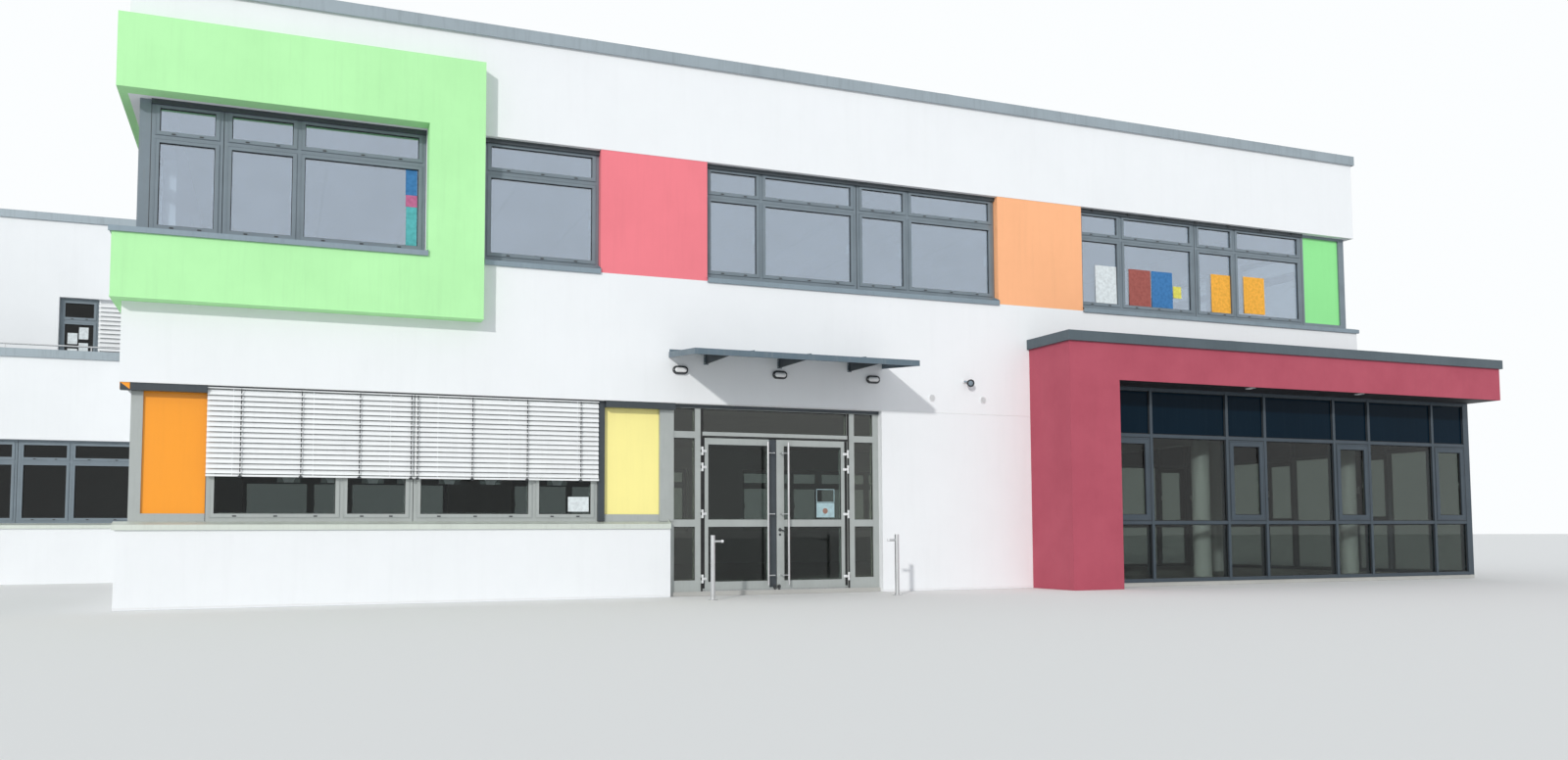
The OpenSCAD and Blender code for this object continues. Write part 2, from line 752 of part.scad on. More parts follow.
// A leaf with its hinge side at x = 0, set back from the posts' front at y = 0
module leaf() {
    difference() {
        translate([side_gap, leaf_back, leaf_z]) cube([leaf_w, leaf_t, leaf_h]);
        translate([side_gap + hinge_stile, leaf_back - 1, leaf_z + kick_h])
            cube([leaf_w - hinge_stile - lock_stile, leaf_t + 2, mid_rail_z - leaf_gap - kick_h]);
        translate([side_gap + hinge_stile, leaf_back - 1, floor_t + mid_rail_z + mid_rail_h])
            cube([leaf_w - hinge_stile - lock_stile, leaf_t + 2,
                  leaf_h + leaf_gap - mid_rail_z - mid_rail_h - hinge_stile]);
    }
    for (z = hinge_zs) hinge(z, true);
}

module leaf_glass() {
    g = leaf_back + (leaf_t - glass_t) / 2;
    translate([side_gap + hinge_stile, g, leaf_z + kick_h])
        cube([leaf_w - hinge_stile - lock_stile, glass_t, mid_rail_z - leaf_gap - kick_h]);
    translate([side_gap + hinge_stile, g, floor_t + mid_rail_z + mid_rail_h])
        cube([leaf_w - hinge_stile - lock_stile, glass_t,
              leaf_h + leaf_gap - mid_rail_z - mid_rail_h - hinge_stile]);
}

// Full-height pull bar on three cranked stand-offs from the lock stile
module leaf_pull() {
    x = side_gap + leaf_w - pull_in;
    foot = side_gap + leaf_w - lock_stile / 2;
    y = leaf_back - pull_off;
    translate([x, y, leaf_z + 60]) cylinder(d = pull_d, h = leaf_h - 100, $fn = 24);
    for (z = [leaf_z + 200, leaf_z + leaf_h / 2, leaf_z + leaf_h - 200]) {
        translate([foot, y - arm_d / 2, z]) rotate([-90, 0, 0])
            cylinder(d = arm_d, h = pull_off + arm_d / 2, $fn = 24);
        translate([x, y, z]) rotate([0, 90, 0]) cylinder(d = arm_d, h = foot - x, $fn = 24);
    }
}

module door_left() { color("dimgray") mirror_door(0) translate([0, ent_y, 0]) leaf(); }
module door_right() { color("dimgray") mirror_door(1) translate([0, ent_y, 0]) leaf(); }
module door_left_glass() {
    color("lightblue") mirror_door(0) translate([0, ent_y, 0]) leaf_glass();
}
module door_right_glass() {
    color("lightblue") mirror_door(1) translate([0, ent_y, 0]) leaf_glass();
}
module door_left_pull() { color("silver") mirror_door(0) translate([0, ent_y, 0]) leaf_pull(); }
module door_right_pull() { color("silver") mirror_door(1) translate([0, ent_y, 0]) leaf_pull(); }

// Drop of the canopy's top at a distance from the wall
function fall(y) = canopy_fall * y / canopy_d;

// A sheet that falls to the front, with its front and side edges turned down
module canopy_plate() {
    color("gray") translate([door_x - canopy_w / 2, fy, canopy_z]) rotate([90, 0, 90]) difference() {
        linear_extrude(canopy_w) polygon([[0, 0], [-canopy_d, -canopy_fall],
                                          [-canopy_d, -canopy_fall - canopy_t], [0, -canopy_t]]);
        translate([0, 0, canopy_sheet]) linear_extrude(canopy_w - 2 * canopy_sheet)
            polygon([[1, -canopy_sheet], [canopy_sheet - canopy_d, -canopy_fall - canopy_sheet],
                     [canopy_sheet - canopy_d, -canopy_fall - canopy_t - 1], [1, -canopy_t - 1]]);
    }
}

// Tapered plates under the sheet
module canopy_brackets() {
    color("gray") for (s = [-1, 0, 1])
        translate([door_x + s * bracket_step - bracket_t / 2, fy, canopy_z])
            rotate([90, 0, 90]) linear_extrude(bracket_t)
                polygon([[0, -bracket_h], [0, -canopy_sheet - bracket_play],
                         [-bracket_d, -fall(bracket_d) - canopy_sheet - bracket_play],
                         [-bracket_d, -fall(bracket_d) - canopy_sheet - bracket_tip]]);
}
bracket_play = 1;

// Oval lamps: a housing and its domed lens
module oval(d1, d2, h) {
    hull() for (t = [-1, 1]) translate([t * (lamp_d - 16) / 2, 0, 0]) cylinder(d1 = d1, d2 = d2, h = h);
}

module wall_lamps() {
    color("darkslategray") for (s = [-1, 0, 1])
        translate([door_x + s * lamp_step, fy, lamp_z]) rotate([90, 0, 0]) {
            oval(lamp_d, lamp_d - 6, 42);
            oval(lamp_d - 20, lamp_d - 44, 64);
        }
}

// Two round vents, and a small spotlight on an arm that looks down and to the left
module wall_vents() {
    pier = pav_l - door_end_u;
    color("white") for (s = [vent_share, 1 - vent_share])
        translate([u(door_end_u + pier * s), fy, vent_z]) rotate([90, 0, 0]) cylinder(d = vent_d, h = 14);
    color("gray") translate([u(door_end_u + pier * spot_share), fy, vent_z + spot_up]) rotate([90, 0, 0]) {
        cylinder(d = 80, h = 14);
        cylinder(d = 26, h = 60);
        translate([0, 0, 45]) rotate([15, -15, 0]) cylinder(d1 = 56, d2 = 86, h = 85);
    }
}

stop_off = 230;
stop_out = 980;
stop_y = fy - stop_out;
stop_arm = 134;
stop_d = 60;
stop_h = 850;
module door_stops() {
    color("silver") for (m = [0, 1]) mirror_door(m) translate([-stop_off, stop_y, 0]) {
        cylinder(d = stop_d, h = stop_h);
        cylinder(d = 130, h = 8);
        translate([0, 0, stop_h - 80]) rotate([0, 90, 0]) cylinder(d = 34, h = stop_arm);
    }
}

module pavilion_pier() {
    color([0.65, 0.2, 0.25]) linear_extrude(pav_z) polygon([
        [pav_x, pav_y], [pav_x + red_pier_w, pav_y], [pav_x + red_pier_w, pav_glass_y],
        [pav_x + pav_wall, pav_glass_y], [pav_x + pav_wall, fy], [pav_x, fy]]);
}

pav_plan = [[pav_x, pav_y], [pav_end, pav_y], [pav_end, pav_rear], [rx, pav_rear], [rx, fy], [pav_x, fy]];
pav_pocket = [[pav_x + pav_wall, pav_y + pav_wall], [pav_end - pav_wall, pav_y + pav_wall],
              [pav_end - pav_wall, pav_rear - pav_wall], [rx - 1, pav_rear - pav_wall],
              [rx - 1, fy + 1], [pav_x + pav_wall, fy + 1]];
pav_top = pav_z + fascia_h + coping_h - coping_t;

module pavilion_roof() {
    color([0.65, 0.2, 0.25]) difference() {
        translate([0, 0, pav_z]) linear_extrude(pav_top - pav_z) polygon(pav_plan);
        translate([0, 0, pav_z + slab_t]) linear_extrude(pav_top) polygon(pav_pocket);
    }
}

module pavilion_coping() {
    color("slategray") difference() {
        translate([0, 0, pav_top - coping_h + coping_t]) linear_extrude(coping_h) polygon([
            [pav_x - coping_out, pav_y - coping_out], [pav_end + coping_out, pav_y - coping_out],
            [pav_end + coping_out, pav_rear + coping_out], [rx, pav_rear + coping_out],
            [rx, fy], [pav_x - coping_out, fy]]);
        translate([0, 0, pav_top - coping_h]) linear_extrude(coping_h) polygon(pav_plan);
        translate([0, 0, pav_top - coping_h]) linear_extrude(2 * coping_h) polygon(pav_pocket);
    }
}

// A casement in a bay, its outer bars in front of the curtain wall
module casement(w, h) {
    translate([0, -casement_out, 0]) difference() {
        cube([w, casement_out + 20, h]);
        translate([casement_w, -1, casement_w])
            cube([w - 2 * casement_w, casement_out + 22, h - 2 * casement_w]);
    }
}

// One curtain wall run of bays along x, its outer face on y = 0. bays lists the
// widths between the middles of the bars, and hung the bays that have a casement.
module curtain_frame(bays, hung) {
    s = starts(bays);
    w = s[len(bays) - 1] + bays[len(bays) - 1];
    difference() {
        translate([0, 0, floor_t]) cube([w, cw_d, pav_z - floor_t]);
        for (i = [0:len(bays) - 1]) for (z = [[floor_t + cw_bar, cw_low], [cw_low + cw_bar, cw_high],
                                            [cw_high + cw_bar, pav_z - cw_bar]])
            translate([s[i] + cw_bar / 2, -1, z[0]])
                cube([bays[i] - cw_bar, cw_d + 2, z[1] - z[0]]);
    }
    for (i = hung) translate([s[i] + cw_bar / 2, 0, cw_low + cw_bar])
        casement(bays[i] - cw_bar, cw_high - cw_low - cw_bar);
}

module curtain_fill(bays, zs, t) {
    s = starts(bays);
    for (i = [0:len(bays) - 1]) for (z = zs)
        translate([s[i] + cw_bar / 2, 20, z[0]]) cube([bays[i] - cw_bar, t, z[1] - z[0]]);
}

front_run = cw_end - cw_d - pav_x - red_pier_w;
cw_wide = (front_run - cw_first - 3 * cw_narrow) / 3;
front_bays = [cw_first, cw_wide, cw_narrow, cw_wide, cw_narrow, cw_wide, cw_narrow];
side_n = 3;
side_len = pav_side + pav_glass_out - 2 * cw_d;
side_bays = [for (i = [1:side_n]) for (w = [side_len / side_n - cw_narrow, cw_narrow]) w];
rear_bays = [cw_narrow, cw_end - rx - cw_d - cw_narrow];
glass_zs = [[floor_t + cw_bar, cw_low], [cw_low + cw_bar, cw_high]];
panel_zs = [[cw_high + cw_bar, pav_z - cw_bar]];

module curtain_part(bays, kind, hung) {
    if (kind == 0) curtain_frame(bays, hung);
    else curtain_fill(bays, kind == 1 ? glass_zs : panel_zs, glass_t);
}

module curtain(kind) {
    translate([cw_end - cw_d - front_run, pav_glass_y, 0]) curtain_part(front_bays, kind, [0, 2, 4, 6]);
    translate([cw_end, pav_glass_y + cw_d, 0]) rotate(90) curtain_part(side_bays, kind, [1, 3, 5]);
    translate([cw_end - cw_d, pav_rear, 0]) rotate(180) curtain_part(rear_bays, kind, [0]);
}

module pavilion_frames() {
    color("dimgray") {
        curtain(0);
        block([cw_end - cw_d + joint, pav_glass_y, floor_t],
              [cw_end, pav_glass_y + cw_d - joint, pav_z]);
        block([cw_end - cw_d + joint, pav_rear - cw_d + joint, floor_t], [cw_end, pav_rear, pav_z]);
    }
}
module pavilion_panels() { color([0.1, 0.2, 0.28]) curtain(2); }
module pavilion_glass() { color("lightblue") curtain(1); }

module round_columns() {
    color("lightgray") for (p = [[rx - wall_t / 2, fy + wall_t / 2], [(pav_x + rx) / 2, fy + wall_t / 2],
                                 [rx - wall_t / 2, fy + pav_side / 2]])
        translate([p[0], p[1], floor_t]) cylinder(d = column_d, h = low_head - floor_t);
}

// Outer walls of the wing; the upper storey steps back behind a roof terrace
wing_up_y = wing_y + wing_step;
wing_up_edge = 500;
wing_up_roof = wing_top - wing_up_edge;
module wing_walls() {
    color("white") difference() {
        union() {
            block([wing_x, wing_y, 0], [lx, ry, wing_z + coping_h - coping_t]);
            block([wing_x, wing_up_y, 0], [lx, ry, wing_top + coping_h - coping_t]);
        }
        block([wing_x + wall_t, wing_y + wall_t, -1], [lx + 1, ry - wall_t, upper_z]);
        block([wing_x + wall_t, wing_up_y + wall_t, 0], [lx + 1, ry - wall_t, wing_top + storey_h]);
        block([wing_x + wall_t, wing_y + wall_t, 0], [lx + 1, wing_up_y, wing_top]);
        block([lx - wing_win_in - 2 * module_w, wing_y - 1, wing_sill - sill_lift],
              [lx - wing_win_in, wing_y + wall_t + 1, low_head]);
        block([lx - wing_light_in - wing_light_w, wing_up_y - 1, upper_z],
              [lx - wing_light_in, wing_up_y + wall_t + 1, upper_z + wing_light_h]);
        block([lx - wing_light_in, wing_up_y - 1, upper_z + 300],
              [lx - louvre_in, wing_up_y + recess, upper_z + wing_light_h]);
    }
}

module wing_roofs() {
    color("slategray") {
        block([wing_x + wall_t, wing_y + wall_t, upper_z - slab_t], [lx, ry - wall_t, upper_z]);
        block([wing_x + wall_t, wing_up_y + wall_t, wing_up_roof - slab_t],
              [lx, ry - wall_t, wing_up_roof]);
    }
}

// Copings on the wing's lower and upper walls
module wing_coping() {
    color("slategray") for (c = [[wing_y, wing_up_y, wing_z, wall_t],
                                 [wing_up_y, ry, wing_top, wall_t]]) {
        top = c[2] + coping_h - coping_t;
        low = c[2] == wing_z;
        difference() {
            block([wing_x - coping_out, c[0] - coping_out, c[2]],
                  [lx, low ? c[1] : c[1] + coping_out, top + coping_t]);
            block([wing_x, c[0], 0], [lx + 1, c[1] + (low ? 1 : 0), top]);
            block([wing_x + c[3], c[0] + c[3], 0], [lx + 1, low ? c[1] + 1 : c[1] - c[3], top + storey_h]);
        }
    }
}

// White slatted screen beside the wing's upper light
louvre_in = 300;
louvre_pitch = 90;
module wing_louvre() {
    w = wing_light_in - louvre_in;
    n = floor((wing_light_h - 300) / louvre_pitch);
    color("white") translate([lx - wing_light_in, wing_up_y, upper_z + 300]) {
        for (x = [0, w / 2 - 15, w - 30]) translate([x, recess - 30, 0])
            cube([30, 30, wing_light_h - 300]);
        for (i = [0:n - 1]) translate([0, recess - 70, i * louvre_pitch + 10])
            rotate([0, 90, 0]) linear_extrude(w) polygon([[-6, 0], [0, 0], [-60, 50], [-66, 50]]);
    }
}

// Safety rail on short posts along the wing's lower roof edge
rail_d = 30;
rail_posts = 5;
module wing_rail() {
    top = wing_z + coping_h;
    color("gray") {
        translate([wing_x + 100, wing_y + wall_t / 2, top + rail_h]) rotate([0, 90, 0])
            cylinder(d = rail_d, h = wing_w - 200, $fn = 16);
        for (i = [0:rail_posts - 1])
            translate([wing_x + 150 + i * (wing_w - 300) / (rail_posts - 1), wing_y + wall_t / 2, top])
                cylinder(d = 20, h = rail_h, $fn = 16);
    }
}

ground_slab();
upper_floor();
main_roof();
roof_coping();
front_wall_low();
front_wall_pier();
front_wall_band();
front_parapet();
upper_pier();
red_panel();
orange_panel();
left_wall();
right_wall();
rear_wall();
green_box();
front_window_frames();
low_window_frames();
side_window_frames();
blind_rails();
front_glass();
low_glass();
side_glass();
yellow_panel();
low_orange_panel();
green_panel();
window_sills();
blind_left();
blind_right();
entrance_frame();
entrance_glass();
door_left();
door_left_glass();
door_left_pull();
door_right();
door_right_glass();
door_right_pull();
canopy_plate();
canopy_brackets();
wall_lamps();
wall_vents();
door_stops();
pavilion_pier();
pavilion_roof();
pavilion_coping();
pavilion_frames();
pavilion_panels();
pavilion_glass();
round_columns();
wing_walls();
wing_roofs();
wing_coping();
wing_louvre();
wing_rail();
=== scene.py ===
"""School building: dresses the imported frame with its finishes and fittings."""

from itertools import product
from math import atan2, cos, pi, radians, sin

import bmesh
import bpy
from mathutils import Matrix, Vector


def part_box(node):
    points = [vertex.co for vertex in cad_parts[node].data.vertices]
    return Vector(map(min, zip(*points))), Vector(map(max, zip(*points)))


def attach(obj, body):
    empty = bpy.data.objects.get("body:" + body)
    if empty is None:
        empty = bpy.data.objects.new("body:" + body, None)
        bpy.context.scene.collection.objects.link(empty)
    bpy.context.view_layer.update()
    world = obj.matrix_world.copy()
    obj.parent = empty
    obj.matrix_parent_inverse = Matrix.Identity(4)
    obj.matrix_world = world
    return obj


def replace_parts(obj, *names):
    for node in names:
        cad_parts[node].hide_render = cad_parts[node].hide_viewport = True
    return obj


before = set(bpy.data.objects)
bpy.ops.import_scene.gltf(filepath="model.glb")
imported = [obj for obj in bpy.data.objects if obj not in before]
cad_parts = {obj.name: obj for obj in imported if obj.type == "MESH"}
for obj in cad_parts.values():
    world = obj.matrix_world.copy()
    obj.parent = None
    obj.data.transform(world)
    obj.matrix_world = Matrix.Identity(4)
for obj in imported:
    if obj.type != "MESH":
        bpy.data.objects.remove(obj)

bl_info = {
    "name": "School building",
    "version": (1, 0, 0),
    "blender": (4, 5, 0),
    "location": "View3D > Sidebar > School",
    "description": "Finishes and fittings of a two-storey school building",
    "category": "Object",
}

HOUSE, LEFT_LEAF, RIGHT_LEAF = "building", "left_leaf", "right_leaf"

# Outer faces of the walls and what several steps share, in metres
LEFT, RIGHT, FRONT, REAR = -9.9, 9.9, -8.2, 8.2
HALL_LEFT, HALL_RIGHT, HALL_FRONT, HALL_REAR = 2.85, 12.15, -9.27, -1.1
BOX_LEFT, BOX_RIGHT, BOX_FRONT, BOX_REAR = -10.0, -5.71, -8.45, -5.0
WING_LEFT, WING_FRONT, WING_UPPER = -15.9, 1.95, 3.6
WALL, HALL_WALL = 0.36, 0.3
RECESS = 0.12  # from a wall's face back to its frames
FRAMES = FRONT + RECESS
OUT = (0, -1, 0)


# ---------------------------------------------------------------- sizes, colours


class SchoolSizes(bpy.types.PropertyGroup):
    """Sizes of the fittings that the frame doesn't hold"""

    def _length(name, what, value, low, high):
        return bpy.props.FloatProperty(name=name, description=what, default=value, min=low,
                                       max=high, unit="LENGTH", precision=4)

    gasket: _length("Glazing gasket", "Visible width of the rubber round a pane",
                    0.008, 0.004, 0.02)
    splice_step: _length("Coping length", "Length of one coping sheet between its joint covers",
                         3.0, 1.5, 6.0)
    drain_cap: _length("Drain cap", "Length of the caps over the frames' drain slots",
                       0.044, 0.02, 0.06)
    cord: _length("Blind cord", "Thickness of the blinds' lift cords", 0.006, 0.003, 0.01)
    cap_out: _length("Cover cap", "How far the glazing bars' cover caps stand out",
                     0.018, 0.008, 0.03)
    casement_bar: _length("Casement bar", "Visible width of the pavilion's casement bars",
                          0.1, 0.06, 0.14)


class SchoolColours(bpy.types.PropertyGroup):
    """Colours of the building"""

    def _colour(name, what, value):
        return bpy.props.FloatVectorProperty(
            name=name, description=what, default=value, size=3, subtype="COLOR", min=0.0, max=1.0)

    walls: _colour("Walls", "White render of the outer walls", (0.83, 0.85, 0.87))
    green: _colour("Green frame", "Render of the box round the corner window", (0.46, 0.88, 0.42))
    red: _colour("Red panel", "Panel in the upper window band", (0.84, 0.20, 0.24))
    orange: _colour("Orange panel", "Panel beside the right-hand windows", (0.95, 0.46, 0.23))
    yellow: _colour("Yellow panel", "Panel beside the blinds", (0.97, 0.87, 0.32))
    deep_orange: _colour("Deep orange panel", "Panel at the left corner", (0.93, 0.33, 0.008))
    leaf_green: _colour("Leaf green panel", "Panel at the right corner", (0.27, 0.79, 0.28))
    pavilion: _colour("Pavilion", "Dark red render of the pavilion", (0.42, 0.072, 0.112))
    frames: _colour("Frames", "Coated metal of the upper window frames", (0.19, 0.235, 0.27))
    # Painted light: a lighter copy of the frames' colour, for the sunlit entrance and the windows
    # beside it
    sunlit_frames: _colour("Door frames", "Coated metal of the entrance and the windows beside it",
                         (0.41, 0.44, 0.43))
    # Painted shade: a darker copy of the frames' colour, for the pavilion's frames under its deep
    # roof
    shaded_hall_frames: _colour("Pavilion frames", "Coated metal of the pavilion's frames",
                         (0.05, 0.07, 0.09))
    rails: _colour("Rails", "Coated metal of the dark rails beside the panels",
                   (0.05, 0.062, 0.072))
    coping: _colour("Coping", "Metal of the roofs' copings", (0.34, 0.40, 0.44))
    spandrels: _colour("Spandrels", "Enamelled glass over the pavilion's windows",
                       (0.002, 0.012, 0.024))


def sizes():
    return bpy.context.scene.school_sizes


def colours():
    return bpy.context.scene.school_colours


# ---------------------------------------------------------------- mesh making


def mm(*values):
    """Pairs of measures in millimetres, as points in metres."""
    return [(a / 1000, b / 1000) for a, b in zip(values[::2], values[1::2])]


class Form:
    """Faces of one piece, in metres, gathered before its mesh is made."""

    def __init__(self):
        self.points, self.faces, self.kinds, self.place = [], [], [], Matrix()

    def add(self, points, faces, kind=0):
        """Faces with the piece's finish number kind, moved by the form's place."""
        start = len(self.points)
        self.points += [self.place @ Vector(p) for p in points]
        self.faces += [[start + i for i in face] for face in faces]
        self.kinds += [kind] * len(faces)

    def skin(self, points, sides, kind=0, closed=False):
        """Joins rings of points. A run that isn't closed gets a face at each end."""
        total = len(points)
        faces = []
        for j in range(0, total if closed else total - sides, sides):
            after = (j + sides) % total
            faces += [(j + k, j + (k + 1) % sides, after + (k + 1) % sides, after + k)
                      for k in range(sides)]
        if not closed:
            faces += [tuple(range(sides)), tuple(range(total - 1, total - sides - 1, -1))]
        self.add(points, faces, kind)

    def bar(self, low, high, kind=0):
        """A straight bar from one corner to the other."""
        self.add(list(product(*zip(low, high))), [(0, 1, 3, 2), (4, 6, 7, 5), (0, 4, 5, 1),
                                                  (2, 3, 7, 6), (0, 2, 6, 4), (1, 5, 7, 3)], kind)

    def prism(self, outline, axis, low, high, kind=0):
        """An outline drawn in the plane across an axis, run from low to high along it."""
        def at(u, v, w):
            return ((w, u, v), (u, w, v), (u, v, w))[axis]
        self.skin([at(u, v, w) for w in (low, high) for u, v in outline], len(outline), kind)

    def loop(self, low, high, width, front, back, kind=0, cut=0.0):
        """A rectangular ring in the x-z plane; cut chamfers its front inner edge."""
        rings = [(0, front), (0, back), (width, back), (width, front + cut)]
        if cut:
            rings.append((width - cut, front))
        points = []
        for inset, y in rings:
            left, bottom, right, top = (low[0] + inset, low[1] + inset,
                                        high[0] - inset, high[1] - inset)
            points += [(left, y, bottom), (right, y, bottom), (right, y, top), (left, y, top)]
        self.skin(points, 4, kind, closed=True)

    def tube(self, path, radius, sides=10, kind=0):
        """A round bar along a path of points."""
        path = [Vector(p) for p in path]
        points, across = [], None
        for i, p in enumerate(path):
            ahead = (path[min(i + 1, len(path) - 1)] - path[max(i - 1, 0)]).normalized()
            if across is None:
                across = ahead.orthogonal().normalized()
            across = (across - ahead * across.dot(ahead)).normalized()
            other = ahead.cross(across)
            for k in range(sides):
                a = 2 * pi * k / sides
                points.append(p + radius * (cos(a) * across + sin(a) * other))
        self.skin(points, sides, kind)

    def turned(self, profile, base, axis=(0, 0, 1), sides=20, kind=0, stretch=0.0):
        """A profile of (radius, height) turned about an axis. stretch pulls its two halves
        apart along its local x."""
        turn = Vector((0, 0, 1)).rotation_difference(Vector(axis)).to_matrix()
        points = []
        for r, h in profile:
            for k in range(sides):
                a = 2 * pi * (k + 0.5) / sides
                x = r * cos(a) + (stretch if cos(a) > 0 else -stretch)
                points.append(Vector(base) + turn @ Vector((x, r * sin(a), h)))
        self.skin(points, sides, kind)

    def sweep(self, outline, path, z, closed=False, kind=0):
        """An outline of (out, up) carried along a path at a level, square at the corners. out
        points to the right of the way ahead."""
        path = [Vector((x, y, 0)) for x, y in path]
        n, points = len(path), []
        for i, p in enumerate(path):
            before = [path[i - 1], p] if closed or i else None
            after = [p, path[(i + 1) % n]] if closed or i < n - 1 else None
            ways = [(b - a).normalized() for a, b in filter(None, (before, after))]
            out = sum((Vector((way.y, -way.x, 0)) for way in ways), Vector()) / len(ways)
            out = out / out.length_squared
            points += [p + out * u + Vector((0, 0, z + v)) for u, v in outline]
        self.skin(points, len(outline), kind, closed)


def piece(name, form, finishes, body=HOUSE, bevel=0.0, smooth=40):
    """Makes the object of a form, and lets it ride on a body."""
    mesh = bpy.data.meshes.new(name)
    mesh.from_pydata([tuple(p) for p in form.points], [], form.faces)
    work = bmesh.new()
    work.from_mesh(mesh)
    bmesh.ops.recalc_face_normals(work, faces=work.faces)
    work.to_mesh(mesh)
    work.free()
    for finish in finishes:
        mesh.materials.append(bpy.data.materials[finish])
    mesh.polygons.foreach_set("material_index", form.kinds)
    mesh.polygons.foreach_set("use_smooth", [True] * len(mesh.polygons))
    mesh.set_sharp_from_angle(angle=radians(smooth))
    made = bpy.data.objects.new(name, mesh)
    bpy.context.scene.collection.objects.link(made)
    if bevel:
        edge = made.modifiers.new("Edge radius", "BEVEL")
        edge.width, edge.segments, edge.angle_limit = bevel, 2, radians(40)
        edge.limit_method = "ANGLE"
    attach(made, body)
    return made


# ---------------------------------------------------------------- shader effects


def node(tree, kind, **values):
    """A new shader node with its settings."""
    made = tree.nodes.new("ShaderNode" + kind)
    for key, value in values.items():
        setattr(made, key, value)
    return made


def feed(tree, value, socket):
    """Links an output to a socket, or sets the socket to a plain value."""
    if isinstance(value, bpy.types.NodeSocket):
        tree.links.new(value, socket)
    else:
        socket.default_value = value


def calc(tree, operation, a, b):
    """A Math node on two values, each a number or an output."""
    made = node(tree, "Math", operation=operation)
    feed(tree, a, made.inputs[0])
    feed(tree, b, made.inputs[1])
    return made.outputs[0]


def effect(name, inputs, outputs):
    """A new shader group with its named sockets, and its two end nodes."""
    group = bpy.data.node_groups.new(name, "ShaderNodeTree")
    for label, value in inputs:
        kind = "Color" if isinstance(value, tuple) else "Float"
        socket = group.interface.new_socket(label, in_out="INPUT", socket_type="NodeSocket" + kind)
        socket.default_value = value
    for label in outputs:
        kind = "Color" if label == "Colour" else "Float"
        group.interface.new_socket(label, in_out="OUTPUT", socket_type="NodeSocket" + kind)
    return group, group.nodes.new("NodeGroupInput"), group.nodes.new("NodeGroupOutput")


def noise(group, size, detail=5.0, rough=0.6, squeeze=None):
    """Noise of a given size in metres, in the building's own coordinates."""
    source = node(group, "TexCoord").outputs["Object"]
    if squeeze:
        flat = node(group, "VectorMath", operation="MULTIPLY")
        flat.inputs[1].default_value = squeeze
        feed(group, source, flat.inputs[0])
        source = flat.outputs[0]
    fit = node(group, "VectorMath", operation="SCALE")
    feed(group, source, fit.inputs[0])
    feed(group, calc(group, "DIVIDE", 1.0, size), fit.inputs["Scale"])
    cloud = node(group, "TexNoise")
    cloud.inputs["Scale"].default_value = 1.0
    cloud.inputs["Detail"].default_value = detail
    cloud.inputs["Roughness"].default_value = rough
    feed(group, fit.outputs[0], cloud.inputs["Vector"])
    return cloud.outputs["Fac"]


def spread(group, value, low, high, to_low=0.0, to_high=1.0):
    """Maps a value's range; an end of the new range may be an output."""
    fit = node(group, "MapRange")
    for name, end in (("Value", value), ("From Min", low), ("From Max", high),
                      ("To Min", to_low), ("To Max", to_high)):
        feed(group, end, fit.inputs[name])
    return fit.outputs["Result"]


def blend_colours(group, factor, a, b, way="MIX"):
    """A Mix node on two colours."""
    mix = node(group, "Mix", data_type="RGBA", blend_type=way)
    for name, value in (("Factor", factor), ("A", a), ("B", b)):
        feed(group, value, mix.inputs[name])
    return mix.outputs["Result"]


def along(group, axis, source="TexCoord", output="Object"):
    """One axis of the building's coordinates, or of another vector."""
    split = node(group, "SeparateXYZ")
    feed(group, node(group, source).outputs[output], split.inputs[0])
    return split.outputs[axis]


